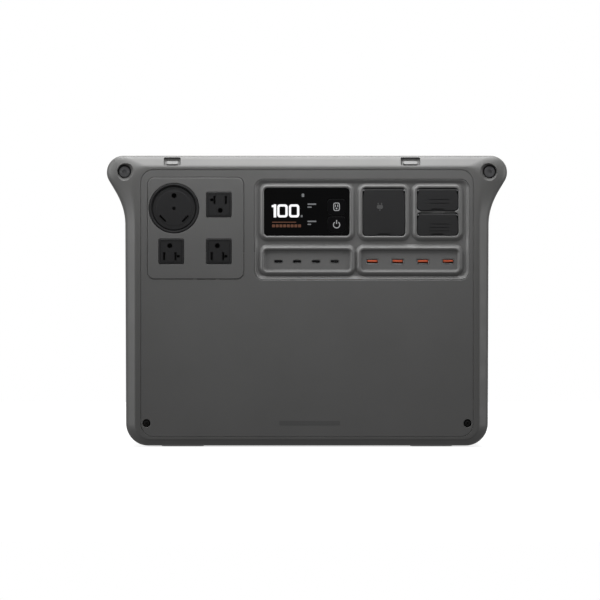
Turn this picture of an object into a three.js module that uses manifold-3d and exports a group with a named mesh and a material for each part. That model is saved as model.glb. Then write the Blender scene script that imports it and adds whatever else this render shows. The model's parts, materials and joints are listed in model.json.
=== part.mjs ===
// Portable power station: a boxed battery with a front panel of sockets, ports and a display,
// two carrying bars, and the battery, inverter and cooling fans inside.
// Millimetres, +Z up, front at -Y, origin under the middle of the case on the surface it stands on.

import * as THREE from 'three';
import { mergeVertices } from 'three/addons/utils/BufferGeometryUtils.js';
import Module from 'manifold-3d';

const wasm = await Module();
wasm.setup();

// ---------------------------------------------------------------- driving dimensions

const GAP = 0.3; // seam between touching pieces
const CUT = 1; // how far a cutter runs past the face it opens

// Case
const TOP = 326; // height over the handles
const CASE_BOTTOM = 1.5; // underside of the end frames, above the feet
const BODY_HALF = 202.5; // half width of the case below the handles
const CORNER = 25; // lower corner radius of the case
const FRAME_FACE = 112.1; // end frames, half depth
const FRAME_SHOULDER = 100; // where the front chamfer of a frame ends
const FRAME_INNER = 84; // inner end of a frame
const EDGE_HALF = 190.5; // half width of the flat land of a frame
const EDGE_BOTTOM = 9.5; // lower edge of the land
const EDGE_TOP = 311.8; // upper edge of the land
const EDGE_RADIUS = 18; // upper corner radius of the land
const EDGE_LOW_RADIUS = 16;
const EAR = { x: 205.6, z: 307.5, r: 18.5, from: -30, foot: 250 }; // nose of a handle ear
const POCKET = { x: 172, low: 236, high: 262 }; // finger pocket behind a handle bar
const WALL = 3; // moulded walls of the case
const SIDE_FACE = 200.5; // outer face of a side panel
const SIDE_LOW = 41; // lower edge of a side panel
const VENT = { pitch: 8, half: 1.8, reach: 40 }; // slots in front of a fan
const TOP_COVER = { low: 322.3, high: 324.6, field: 325.6, step: 10 };
const STIFFENERS = { xs: [-110, 0, 110], half: 1.5, low: 316, inset: 6 };
const TRAY = { r: 24, ribs: [-120, -40, 40, 120], ribHalf: 1.5, ribTop: 7.4 };
const FOOT = { x: 140, y: 62, half: 24, deep: 11, r: 6, high: 2.7 };

// End panels
const PANEL = { half: 185.5, low: 12, high: 310, r: 15, face: 111.7, back: 106.3 };
const PANEL_SEAT = 106; // ledge behind an end panel
const BOSS = { x0: 168, x1: 193, z0: 20, z1: 38, back: -96 }; // screw boss behind an end panel
const SCREW = { x: 179, z: 27, head: 3.9, high: 2.2, sink: 4.5, deep: 3, shank: 2, bore: 2.3, long: 11 };
const REAR_FIELD = { half: 160, low: 60, high: 292, r: 12, face: 112.5 }; // raised middle of the rear panel

// Handle bars and their bolts
const BAR_RADIUS = 17.5;
const BAR_INNER = 199.5;
const BAR_FILLET = 5.5;
const BOLT = { x: 204, z: 308, sink: 7.75, head: 6.5, high: 5, shank: 4, bore: 4.3, seat: 96, end: 66 };

// Sockets on the left of the front panel
const AC_PLATE = { x0: -177.7, x1: -70.7, z0: 188, z1: 301, r: 7.7, face: -112.3, back: -107 };
const SOCKET_FACE = -112.5;
const ROUND_SOCKET = {
  x: -148.3, z: 266.7, r: 27.9, flange: -106.6, neck: 22.5, back: -80, rim: 3, dish: 1.6,
  earth: { z: 14.3, r: 2.8 }, pilot: { r: 2, deep: 5 },
  blade: { x: 12.5, z: -11.4, wide: 2.6, high: 9.5, turn: 45 },
};
const SQUARE_SOCKET = {
  half: 14, back: -84, r: 1.8,
  blade: { wide: 2.4, high: 8.6, z: 5.4 }, leg: { x: -7.4, wide: 4, high: 2.6 },
  leftBlade: -4.8, rightBlade: 7.9, earth: { x: 1.6, z: -6.4, r: 2.6 },
};
const SQUARE_SOCKETS = [
  { name: 'square_socket_upper', x: -98.3, z: 270.7, turned: false },
  { name: 'square_socket_lower_left', x: -151.4, z: 218.6, turned: true },
  { name: 'square_socket_lower_right', x: -98.3, z: 218.6, turned: true },
];
const SLOT_DEPTH = 14;

// Port cluster on the right of the front panel
const CLUSTER = { x0: -58.5, x1: 181, z0: 187, z1: 299, r: 10 };
const BEZEL = { floor: -108.2, back: -104.2, rim: -111.6, margin: 6, r: 4 };
const DISPLAY = { x0: -48, x1: 47.6, z0: 236, z1: 289.5 };
const CHARGE = { x0: 61.9, x1: 109.7, z0: 236, z1: 289.5 };
const DC_UPPER = { x0: 122.5, x1: 169, z0: 263.8, z1: 289.5 };
const DC_LOWER = { x0: 122.5, x1: 169, z0: 236, z1: 262 };
const USB_C = { x0: -48, x1: 49, z0: 197, z1: 220.5 };
const USB_A = { x0: 60, x1: 169, z0: 197, z1: 220.5 };
const USB_C_PORTS = { xs: [-32, -11, 10, 31], z: 207.5, half: 4.6, high: 1.65, mouth: -107.9, board: -97 };
const USB_A_PORTS = {
  xs: [73, 101.2, 129.4, 157.6], z: 207.5, half: 6.7, high: 3, mouth: -107.9, board: -92,
};
const BOARD = { thick: 1.6, half: 9 }; // small board behind a row of ports
const COVER = { face: -111.3, back: -107.7, drop: 0.8, pin: 0.8, bore: 1.1, side: 0.4, r: 4, notch: 1.7 };
const PULL = { half: 7, deep: 1.2, high: 2.4 }; // fingernail recess at the foot of a cover
const GLASS = { face: -110.4, back: -107.8 };
const KEY = { x: 33, half: 10, high: 8.5, r: 4, back: -105.5, stem: 4, zs: [268.5, 249] };
const MODULE = { x0: -46, x1: 20, z0: 239, z1: 287, front: -107.4, back: -101, tail: -98, inset: 3 };
const PORT_FRONT = -106.6; // front of the inlet and port bodies behind their covers
const INLET = { half: 14.5, high: 10.5, back: -82, floor: -90, tip: -104, pins: [-8, 0, 8], earth: 2 };
const DC_PORT = { half: 12, high: 6, back: -86, floor: -93, tip: -105, pins: [-5, 5], r: 1.75 };

// Accessory catches in the upper chamfer of the front frame
const CATCHES = [
  { name: 'catch_plate_left', x: -150.5, half: 9.5 },
  { name: 'catch_plate_right', x: 115.5, half: 11 },
];
const CATCH = { z: 318.4, high: 6.5, deep: 3, bar: 2.4, thick: 1.5, border: 3, reach: 6 };

// Upper chamfer of an end frame: its slope, and its depth at the height of the catches
const CHAMFER = {
  tilt: -Math.atan2(FRAME_FACE - FRAME_SHOULDER, TOP - EDGE_TOP),
  y: -FRAME_FACE + ((CATCH.z - EDGE_TOP) * (FRAME_FACE - FRAME_SHOULDER)) / (TOP - EDGE_TOP),
};

// Inside
const CELL = { count: 8, pitch: 22, half: 70, z0: 10.5, z1: 128.5, groove: 1.2, relief: 1.5 };
const DECK = { half: 186, z: 145, sheet: 2, front: -76, back: 80 };
const INVERTER = { half: 160, front: -72, back: 76, z: 153, thick: 2 };
const HEATSINK = { half: 130, front: -12, fins: 10, pitch: 8, fin: 2.6, base: 6, z: 159, high: 60 };
const FAN = { half: 46, y: 26, z: 193, depth: 25, bore: 43, hub: 17, blades: 7, x: 178.5 };

// ---------------------------------------------------------------- shapes

/** Points along an arc, both ends included. Angles in degrees. */
function arc(cx, cz, r, from, to, steps) {
  const points = [];
  for (let i = 0; i <= steps; i += 1) {
    const angle = THREE.MathUtils.degToRad(from + ((to - from) * i) / steps);
    points.push([cx + r * Math.cos(angle), cz + r * Math.sin(angle)]);
  }
  return points;
}

/** A closed outline from its right half, which runs from the bottom up to the top. */
function mirrored(half) {
  const left = half.map(([x, z]) => [-x, z]).reverse();
  return [...half, ...left];
}

/** Rounded rectangle as a list of points. */
function roundedRect(x0, x1, z0, z1, r, steps = 4) {
  return [
    ...arc(x1 - r, z0 + r, r, -90, 0, steps),
    ...arc(x1 - r, z1 - r, r, 0, 90, steps),
    ...arc(x0 + r, z1 - r, r, 90, 180, steps),
    ...arc(x0 + r, z0 + r, r, 180, 270, steps),
  ];
}

function shapeOf(points) {
  return new THREE.Shape(points.map(([a, b]) => new THREE.Vector2(a, b)));
}

function extruded(points, depth) {
  return new THREE.ExtrudeGeometry(shapeOf(points), { depth, bevelEnabled: false });
}

/** Outline in X and Z, pushed from y0 to y1. */
function alongY(points, y0, y1) {
  const geometry = extruded(points, y1 - y0);
  geometry.rotateX(Math.PI / 2);
  return geometry.translate(0, y1, 0);
}

/** Outline in Y and Z, pushed from x0 to x1. */
function alongX(points, x0, x1) {
  const turn = new THREE.Matrix4().makeBasis(
    new THREE.Vector3(0, 1, 0),
    new THREE.Vector3(0, 0, 1),
    new THREE.Vector3(1, 0, 0),
  );
  return extruded(points, x1 - x0).applyMatrix4(turn).translate(x0, 0, 0);
}

function block(x0, x1, y0, y1, z0, z1) {
  const geometry = new THREE.BoxGeometry(x1 - x0, y1 - y0, z1 - z0);
  return geometry.translate((x0 + x1) / 2, (y0 + y1) / 2, (z0 + z1) / 2);
}

function rodX(x0, x1, y, z, r, sides) {
  const geometry = new THREE.CylinderGeometry(r, r, x1 - x0, sides);
  return geometry.rotateZ(Math.PI / 2).translate((x0 + x1) / 2, y, z);
}

function rodY(x, z, y0, y1, r, sides) {
  return new THREE.CylinderGeometry(r, r, y1 - y0, sides).translate(x, (y0 + y1) / 2, z);
}

function rodZ(x, y, z0, z1, r, sides) {
  const geometry = new THREE.CylinderGeometry(r, r, z1 - z0, sides);
  return geometry.rotateX(Math.PI / 2).translate(x, y, (z0 + z1) / 2);
}

/** Closed skin over a row of outlines with equal counts, each at its own y. */
function loft(outlines, ys) {
  const count = outlines[0].length;
  const positions = [];
  const faces = [];
  outlines.forEach((outline, ring) => {
    outline.forEach(([x, z]) => positions.push(x, ys[ring], z));
  });
  for (let ring = 0; ring + 1 < outlines.length; ring += 1) {
    for (let i = 0; i < count; i += 1) {
      const a = ring * count + i;
      const b = ring * count + ((i + 1) % count);
      faces.push(a, b, b + count, a, b + count, a + count);
    }
  }
  const cap = (outline) => {
    const contour = outline.map(([x, z]) => new THREE.Vector2(x, z));
    return THREE.ShapeUtils.triangulateShape(contour, []);
  };
  const last = (outlines.length - 1) * count;
  cap(outlines[0]).forEach(([a, b, c]) => faces.push(c, b, a));
  cap(outlines[outlines.length - 1]).forEach(([a, b, c]) => faces.push(a + last, b + last, c + last));
  const geometry = new THREE.BufferGeometry();
  geometry.setAttribute('position', new THREE.Float32BufferAttribute(positions, 3));
  geometry.setIndex(faces);
  return outward(geometry);
}

/** Turns the faces out if the skin is inside out. */
function outward(geometry) {
  const position = geometry.getAttribute('position');
  const index = geometry.getIndex().array;
  const [a, b, c] = [new THREE.Vector3(), new THREE.Vector3(), new THREE.Vector3()];
  let volume = 0;
  for (let i = 0; i < index.length; i += 3) {
    a.fromBufferAttribute(position, index[i]);
    b.fromBufferAttribute(position, index[i + 1]);
    c.fromBufferAttribute(position, index[i + 2]);
    volume += a.dot(b.cross(c));
  }
  if (volume < 0) {
    for (let i = 0; i < index.length; i += 3) {
      [index[i], index[i + 1]] = [index[i + 1], index[i]];
    }
  }
  return geometry;
}

// ---------------------------------------------------------------- joining and cutting

function toSolid(geometry) {
  const bare = geometry.clone();
  bare.deleteAttribute('normal');
  bare.deleteAttribute('uv');
  const merged = mergeVertices(bare, 1e-4);
  return new wasm.Manifold(new wasm.Mesh({
    numProp: 3,
    vertProperties: new Float32Array(merged.getAttribute('position').array),
    triVerts: new Uint32Array(merged.getIndex().array),
  }));
}

function toGeometry(solid) {
  const mesh = solid.getMesh();
  const geometry = new THREE.BufferGeometry();
  geometry.setAttribute('position', new THREE.BufferAttribute(mesh.vertProperties, 3));
  geometry.setIndex(new THREE.BufferAttribute(mesh.triVerts, 1));
  geometry.computeVertexNormals();
  return geometry;
}

/** One piece from what is added together, less what is cut away. */
function carve(added, cutters = []) {
  let solid = toSolid(added[0]);
  added.slice(1).forEach((geometry) => {
    solid = solid.add(toSolid(geometry));
  });
  cutters.forEach((geometry) => {
    solid = solid.subtract(toSolid(geometry));
  });
  return toGeometry(solid);
}

// ---------------------------------------------------------------- finishes

const FINISHES = {
  casePlastic: { color: 0x5b5b5a, roughness: 0.5, metalness: 0 },
  panelPlastic: { color: 0x545453, roughness: 0.55, metalness: 0 },
  socketPlastic: { color: 0x28282a, roughness: 0.5, metalness: 0 },
  coverRubber: { color: 0x2c2c2d, roughness: 0.7, metalness: 0 },
  footRubber: { color: 0x1c1c1c, roughness: 0.85, metalness: 0 },
  displayGlass: { color: 0x050506, roughness: 0.08, metalness: 0 },
  keyPlastic: { color: 0x0b0b0c, roughness: 0.2, metalness: 0 },
  orangePlastic: { color: 0xd4552a, roughness: 0.4, metalness: 0 },
  steel: { color: 0xc8c9cb, roughness: 0.3, metalness: 1 },
  darkSteel: { color: 0x3a3a3c, roughness: 0.4, metalness: 1 },
  aluminium: { color: 0xb4b6b8, roughness: 0.4, metalness: 1 },
  cellCase: { color: 0x3f6f9e, roughness: 0.4, metalness: 0.6 },
  copper: { color: 0xb87333, roughness: 0.4, metalness: 1 },
  boardGreen: { color: 0x1f5a3a, roughness: 0.5, metalness: 0 },
  fanPlastic: { color: 0x18181a, roughness: 0.5, metalness: 0 },
  cableRubber: { color: 0xa02020, roughness: 0.6, metalness: 0 },
};

/** A named piece in its own finish. */
function piece(name, geometry, finish) {
  const mesh = new THREE.Mesh(geometry, new THREE.MeshStandardMaterial(FINISHES[finish]));
  mesh.name = name;
  return mesh;
}

// ---------------------------------------------------------------- case outlines

const SIDE_STEPS = 4;
const NOSE_STEPS = 5;
const CORNER_STEPS = 5;

/** Outline of the case with its flared handle ears. */
function silhouette() {
  const nose = arc(EAR.x, EAR.z, EAR.r, EAR.from, 90, NOSE_STEPS);
  const [noseX, noseZ] = nose[0];
  const sweep = new THREE.CubicBezierCurve(
    new THREE.Vector2(BODY_HALF + 0.9, EAR.foot),
    new THREE.Vector2(BODY_HALF + 1.4, EAR.foot + 22),
    new THREE.Vector2(noseX - 7, noseZ - 12.1),
    new THREE.Vector2(noseX, noseZ),
  );
  const sweepPoints = sweep.getPoints(SIDE_STEPS).slice(0, -1).map((point) => [point.x, point.y]);
  return mirrored([
    ...arc(BODY_HALF - CORNER, CASE_BOTTOM + CORNER, CORNER, -90, 0, CORNER_STEPS),
    ...sweepPoints,
    ...nose,
  ]);
}

/** Outline of the flat land around an end panel, matched point for point to the silhouette. */
function landOutline() {
  const low = EDGE_LOW_RADIUS;
  const top = EDGE_TOP - EDGE_RADIUS;
  const side = [];
  for (let i = 0; i < SIDE_STEPS; i += 1) {
    side.push([EDGE_HALF, EAR.foot + ((top - EAR.foot) * i) / SIDE_STEPS]);
  }
  return mirrored([
    ...arc(EDGE_HALF - low, EDGE_BOTTOM + low, low, -90, 0, CORNER_STEPS),
    ...side,
    ...arc(EDGE_HALF - EDGE_RADIUS, top, EDGE_RADIUS, 0, 90, NOSE_STEPS),
  ]);
}

/** Hollow of an end frame between its side walls, narrowed at the top for the finger pockets. */
function hollowOutline(side, bottom, top) {
  const slope = (POCKET.high - POCKET.low) / (SIDE_FACE - WALL - POCKET.x);
  return mirrored([
    ...arc(side - 20, bottom + 20, 20, -90, 0, CORNER_STEPS),
    [side, POCKET.high - slope * (side - POCKET.x)],
    [POCKET.x, POCKET.high],
    [POCKET.x, top],
  ]);
}

/** Rounded outline that a front or rear panel fills, grown by a margin. */
function panelOutline(grow) {
  return roundedRect(
    -PANEL.half - grow, PANEL.half + grow, PANEL.low - grow, PANEL.high + grow, PANEL.r + grow,
  );
}

// ---------------------------------------------------------------- case

/** End frame with its chamfer, handle ears, bolt holes and screw bosses, as the front one. */
function endFrame(catches) {
  const outer = silhouette();
  const shell = loft([landOutline(), outer, outer], [-FRAME_FACE, -FRAME_SHOULDER, -FRAME_INNER]);
  const mouth = hollowOutline(EDGE_HALF - 1.5, EDGE_BOTTOM + 2, EDGE_TOP - 1);
  const hall = hollowOutline(SIDE_FACE - WALL, CASE_BOTTOM + 4.5, TOP - 6);
  const hollow = carve([shell], [
    alongY(panelOutline(GAP), -FRAME_FACE - CUT, -PANEL_SEAT),
    alongY(mouth, -PANEL_SEAT - CUT, -FRAME_SHOULDER),
    alongY(hall, -FRAME_SHOULDER - CUT, -FRAME_INNER + CUT),
  ]);
  const bosses = [[BOSS.x0, BOSS.x1], [-BOSS.x1, -BOSS.x0]].map(
    ([x0, x1]) => block(x0, x1, -PANEL_SEAT, BOSS.back, BOSS.z0, BOSS.z1),
  );
  const cutters = [];
  [-1, 1].forEach((side) => {
    cutters.push(rodY(side * BOLT.x, BOLT.z, -FRAME_FACE - CUT, -BOLT.seat, BOLT.sink, 24));
    cutters.push(rodY(side * BOLT.x, BOLT.z, -BOLT.seat - CUT, -FRAME_INNER + CUT, BOLT.bore, 12));
    cutters.push(rodY(side * SCREW.x, SCREW.z, -PANEL_SEAT - CUT, BOSS.back + CUT, SCREW.bore, 10));
  });
  catches.forEach(({ x, half }) => {
    const slot = block(-half, half, -CATCH.reach, CATCH.deep, -CATCH.high, CATCH.high);
    cutters.push(slot.rotateX(CHAMFER.tilt).translate(x, CHAMFER.y, CATCH.z));
  });
  return carve([hollow, ...bosses], cutters);
}

/** Bright catch plate that lies on the floor of its slot in the front chamfer. */
function catchPlate(half) {
  const wide = half - CATCH.border;
  const back = CATCH.deep - GAP;
  return alongY(roundedRect(-wide, wide, -CATCH.bar, CATCH.bar, 1.5, 2), back - CATCH.thick, back);
}

function frontPanel() {
  const plate = alongY(panelOutline(0), -PANEL.face, -PANEL.back);
  const { x0, x1, z0, z1, r } = AC_PLATE;
  const openings = [
    roundedRect(x0 - GAP, x1 + GAP, z0 - GAP, z1 + GAP, r + GAP),
    roundedRect(CLUSTER.x0, CLUSTER.x1, CLUSTER.z0, CLUSTER.z1, CLUSTER.r),
  ];
  const cutters = openings.map((outline) => alongY(outline, -PANEL.face - CUT, -PANEL.back + CUT));
  return carve([plate], [...cutters, ...screwHoles()]);
}

/** Countersunk holes for the two lower screws of a front panel. */
function screwHoles() {
  return [-1, 1].flatMap((side) => [
    rodY(side * SCREW.x, SCREW.z, -PANEL.face - CUT, -PANEL.face + SCREW.deep, SCREW.sink, 16),
    rodY(side * SCREW.x, SCREW.z, -PANEL.face, -PANEL.back + CUT, SCREW.bore, 10),
  ]);
}

/** Rear panel, made as a front one with a raised field. */
function rearPanel() {
  const plate = alongY(panelOutline(0), -PANEL.face, -PANEL.back);
  const { half, low, high, r, face } = REAR_FIELD;
  const field = alongY(roundedRect(-half, half, low, high, r), -face, -PANEL.face + CUT);
  return carve([plate, field], screwHoles());
}

/** Round-head screw with its shank along +Y and its head at the origin's front. */
function screw(head, headHigh, shank, length) {
  return carve(
    [rodY(0, 0, -headHigh, 0, head, 16), rodY(0, 0, -CUT, length, shank, 10)],
    [rodY(0, 0, -headHigh - CUT, -headHigh / 2, head / 2, 6)],
  );
}

/** Top cover with a low step around its middle. */
function topCover() {
  const y = FRAME_INNER - GAP;
  const half = POCKET.x + WALL;
  const { low, high, field, step } = TOP_COVER;
  const plate = block(-half, half, -y, y, low, high);
  const middle = block(-half + step, half - step, -y, y, high - 0.6, field);
  const end = y - STIFFENERS.inset;
  const stiffeners = STIFFENERS.xs.map(
    (x) => block(x - STIFFENERS.half, x + STIFFENERS.half, -end, end, STIFFENERS.low, low + 0.7),
  );
  return carve([plate, middle, ...stiffeners]);
}

/** Tray that closes the bottom and turns up both lower corners. */
function bottomTray() {
  const outer = SIDE_FACE;
  const inner = SIDE_FACE - WALL;
  const y = FRAME_INNER - GAP;
  const top = SIDE_LOW - GAP;
  const bottom = CASE_BOTTOM + 1.5;
  const right = arc(outer - TRAY.r, bottom + TRAY.r, TRAY.r, -90, 0, CORNER_STEPS);
  const [innerR, floor] = [TRAY.r - WALL - 0.5, bottom + WALL];
  const back = arc(inner - innerR, floor + innerR, innerR, -90, 0, CORNER_STEPS);
  const outside = mirrored([...right, [outer, top]]);
  const inside = mirrored([...back, [inner, top + CUT]]);
  const ribs = TRAY.ribs.map(
    (x) => block(x - TRAY.ribHalf, x + TRAY.ribHalf, -y + 2, y - 2, bottom + 1.5, TRAY.ribTop),
  );
  const open = carve([alongY(outside, -y, y)], [alongY(inside, -y - CUT, y + CUT)]);
  return carve([open, ...ribs]);
}

/** Right side panel: flat below with vent slots, stepped in above for the finger pocket. */
function sidePanel() {
  const y = FRAME_INNER - GAP;
  const rise = 1.2; // keeps the wall as thick on the slope as below it
  const top = TOP_COVER.low - GAP;
  const outline = [
    [SIDE_FACE, SIDE_LOW],
    [SIDE_FACE, POCKET.low + rise],
    [POCKET.x + WALL, POCKET.high + rise],
    [POCKET.x + WALL, top],
    [POCKET.x + GAP, top],
    [POCKET.x + GAP, POCKET.high],
    [SIDE_FACE - WALL, POCKET.low],
    [SIDE_FACE - WALL, SIDE_LOW],
  ];
  const slots = [];
  for (let z = FAN.z - VENT.reach; z <= FAN.z + VENT.reach; z += VENT.pitch) {
    const reach = Math.sqrt((FAN.half + 2) ** 2 - (z - FAN.z) ** 2) + 6;
    const [y0, y1] = [FAN.y - reach, FAN.y + reach];
    slots.push(block(SIDE_FACE - WALL - CUT, SIDE_FACE + CUT, y0, y1, z - VENT.half, z + VENT.half));
  }
  return carve([alongY(outline, -y, y)], slots);
}

/** Right handle bar: a rounded grip between the ears, bored at both ends for its bolts. */
function handleBar() {
  const nose = arc(EAR.x, EAR.z, BAR_RADIUS, -62, 90, 7);
  const low = nose[0][1];
  const x = BAR_INNER + BAR_FILLET;
  const top = EAR.z + BAR_RADIUS;
  const outline = [
    ...nose.slice(0, -1),
    ...arc(x, top - BAR_FILLET, BAR_FILLET, 90, 180, 3),
    ...arc(x, low + BAR_FILLET, BAR_FILLET, 180, 270, 3),
  ];
  const y = FRAME_INNER - GAP;
  const bores = [[-y - CUT, -BOLT.end + 2], [BOLT.end - 2, y + CUT]].map(
    ([y0, y1]) => rodY(BOLT.x, BOLT.z, y0, y1, BOLT.bore, 12),
  );
  return carve([alongY(outline, -y, y)], bores);
}

function foot() {
  return extruded(roundedRect(-FOOT.half, FOOT.half, -FOOT.deep, FOOT.deep, FOOT.r, 3), FOOT.high);
}

function caseGroup() {
  const group = new THREE.Group();
  group.add(piece('front_frame', endFrame(CATCHES), 'casePlastic'));
  const rear = piece('rear_frame', endFrame([]), 'casePlastic');
  rear.rotation.z = Math.PI;
  group.add(rear);
  group.add(piece('front_panel', frontPanel(), 'panelPlastic'));
  const back = piece('rear_panel', rearPanel(), 'panelPlastic');
  back.rotation.z = Math.PI;
  group.add(back);
  group.add(piece('top_cover', topCover(), 'panelPlastic'));
  group.add(piece('bottom_tray', bottomTray(), 'casePlastic'));
  [['left', Math.PI], ['right', 0]].forEach(([side, turn]) => {
    const wall = piece(`side_panel_${side}`, sidePanel(), 'casePlastic');
    if (turn) {
      wall.geometry = mirroredGeometry(wall.geometry);
    }
    const bar = piece(`handle_bar_${side}`, handleBar(), 'casePlastic');
    bar.rotation.z = turn;
    group.add(wall, bar);
  });
  CATCHES.forEach(({ name, x, half }) => {
    const plate = piece(name, catchPlate(half), 'steel');
    plate.position.set(x, CHAMFER.y, CATCH.z);
    plate.rotation.x = CHAMFER.tilt;
    group.add(plate);
  });
  return group;
}

/** The same piece on the other side of the middle plane. */
function mirroredGeometry(geometry) {
  const copy = geometry.clone().scale(-1, 1, 1);
  return outward(copy);
}

function fastenerGroup() {
  const group = new THREE.Group();
  const longScrew = screw(BOLT.head, BOLT.high, BOLT.shank, BOLT.seat - BOLT.end);
  const shortScrew = screw(SCREW.head, SCREW.high, SCREW.shank, SCREW.long);
  [['front', 0], ['rear', Math.PI]].forEach(([end, turn]) => {
    const half = new THREE.Group();
    half.rotation.z = turn;
    ['left', 'right'].forEach((side) => {
      const sign = (side === 'left' ? -1 : 1) * (turn ? -1 : 1);
      const bolt = piece(`handle_bolt_${end}_${side}`, longScrew.clone(), 'darkSteel');
      bolt.position.set(sign * BOLT.x, -BOLT.seat - GAP, BOLT.z);
      const pin = piece(`panel_screw_${end}_${side}`, shortScrew.clone(), 'darkSteel');
      pin.position.set(sign * SCREW.x, -PANEL.face + SCREW.deep - GAP, SCREW.z);
      const pad = piece(`foot_${end}_${side}`, foot(), 'footRubber');
      pad.position.set(sign * FOOT.x, -FOOT.y, 0);
      half.add(bolt, pin, pad);
    });
    group.add(half);
  });
  return group;
}

// ---------------------------------------------------------------- mains sockets

function acSocketPlate() {
  const { x0, x1, z0, z1, r, face, back } = AC_PLATE;
  const holes = SQUARE_SOCKETS.map(({ x, z }) => {
    const half = SQUARE_SOCKET.half + GAP;
    return alongY(roundedRect(x - half, x + half, z - half, z + half, 2, 2), face - CUT, back + CUT);
  });
  holes.push(rodY(ROUND_SOCKET.x, ROUND_SOCKET.z, face - CUT, back + CUT, ROUND_SOCKET.r + GAP, 40));
  return carve([alongY(roundedRect(x0, x1, z0, z1, r), face, back)], holes);
}

/** Slot for a flat blade, turned by an angle about Y. */
function bladeSlot(x, z, wide, high, turn = 0) {
  const [w, h] = [wide / 2, high / 2];
  const slot = block(-w, w, SOCKET_FACE - CUT, SOCKET_FACE + SLOT_DEPTH, -h, h);
  return slot.rotateY(THREE.MathUtils.degToRad(turn)).translate(x, 0, z);
}

/** Round high-current outlet: a raised rim, two slanted blades and a round earth hole. */
function roundSocket() {
  const { r, flange, neck, back, rim, dish, earth, pilot, blade } = ROUND_SOCKET;
  const front = SOCKET_FACE - CUT;
  const body = [rodY(0, 0, SOCKET_FACE, flange, r, 40), rodY(0, 0, flange - CUT, back, neck, 24)];
  return carve(body, [
    rodY(0, 0, front, SOCKET_FACE + dish, r - rim, 40),
    rodY(0, earth.z, front, SOCKET_FACE + SLOT_DEPTH, earth.r, 12),
    rodY(0, 0, front, SOCKET_FACE + pilot.deep, pilot.r, 10),
    bladeSlot(-blade.x, blade.z, blade.wide, blade.high, -blade.turn),
    bladeSlot(blade.x, blade.z, blade.wide, blade.high, blade.turn),
  ]);
}

/** Square outlet: one straight blade, one T blade and a round earth hole. */
function squareSocket() {
  const { half, back, r, blade, leg, leftBlade, rightBlade, earth } = SQUARE_SOCKET;
  const body = alongY(roundedRect(-half, half, -half, half, r, 2), SOCKET_FACE, back);
  return carve([body], [
    bladeSlot(leftBlade, blade.z, blade.wide, blade.high),
    bladeSlot(leg.x, blade.z, leg.wide, leg.high),
    bladeSlot(rightBlade, blade.z, blade.wide, blade.high),
    rodY(earth.x, earth.z, SOCKET_FACE - CUT, SOCKET_FACE + SLOT_DEPTH, earth.r, 12),
  ]);
}

function socketGroup() {
  const group = new THREE.Group();
  group.add(piece('ac_socket_plate', acSocketPlate(), 'panelPlastic'));
  const round = piece('round_socket', roundSocket(), 'socketPlastic');
  round.position.set(ROUND_SOCKET.x, 0, ROUND_SOCKET.z);
  group.add(round);
  SQUARE_SOCKETS.forEach(({ name, x, z, turned }) => {
    const socket = piece(name, squareSocket(), 'socketPlastic');
    socket.position.set(x, 0, z);
    socket.rotation.y = turned ? Math.PI : 0;
    group.add(socket);
  });
  return group;
}

// ---------------------------------------------------------------- port cluster

/** Window outline, grown by a margin. */
function windowOutline({ x0, x1, z0, z1 }, grow) {
  return roundedRect(x0 - grow, x1 + grow, z0 - grow, z1 + grow, BEZEL.r + Math.max(grow, -2), 3);
}

/** Axis of a cover's hinge, in Y and Z. */
function hingeOf(opening) {
  const r = (COVER.back - COVER.face) / 2;
  return { y: (COVER.face + COVER.back) / 2, z: opening.z1 - COVER.drop - r, r };
}

/** Hole in the bezel for each port of a row. */
function portHoles({ xs, z, half, high }) {
  const [w, h] = [half + GAP, high + GAP];
  return xs.map((x) => block(x - w, x + w, BEZEL.floor - CUT, BEZEL.back + CUT, z - h, z + h));
}

/** Sunken bezel with a raised frame around each window and around both rows of ports. */
function portBezel() {
  const { x0, x1, z0, z1, r } = CLUSTER;
  const outline = roundedRect(x0 + GAP, x1 - GAP, z0 + GAP, z1 - GAP, r - GAP);
  const base = alongY(outline, BEZEL.floor, BEZEL.back);
  const frames = [DISPLAY, CHARGE, { ...DC_UPPER, z0: DC_LOWER.z0 }, USB_C, USB_A].map(
    (frame) => alongY(windowOutline(frame, BEZEL.margin), BEZEL.rim, BEZEL.floor + CUT),
  );
  const windows = [DISPLAY, CHARGE, DC_UPPER, DC_LOWER].map(
    (window) => alongY(windowOutline(window, 0), BEZEL.rim - CUT, BEZEL.back + CUT),
  );
  const rows = [USB_C, USB_A].map((row) => alongY(windowOutline(row, 0), BEZEL.rim - CUT, BEZEL.floor));
  // Room for the finger pocket's wall behind the right edge
  const seat = -PANEL_SEAT - GAP;
  const relief = block(POCKET.x - 1, x1 + CUT, seat, BEZEL.back + CUT, POCKET.low - 8, z1 + CUT);
  // The bar between both direct-current covers is low in the middle, for a fingernail
  const { x0: barLeft, x1: barRight, z1: barLow } = DC_LOWER;
  const dip = block(barLeft + 4, barRight - 4, BEZEL.rim - CUT, -108.6, barLow - 1, DC_UPPER.z0 + 1);
  const pinSeats = [CHARGE, DC_UPPER, DC_LOWER].map((opening) => {
    const { y, z } = hingeOf(opening);
    return rodX(opening.x0 - 2.4, opening.x1 + 2.4, y, z, COVER.bore, 8);
  });
  return carve([base, ...frames], [
    ...windows, ...rows, ...portHoles(USB_C_PORTS), ...portHoles(USB_A_PORTS), relief, dip, ...pinSeats,
  ]);
}

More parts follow.
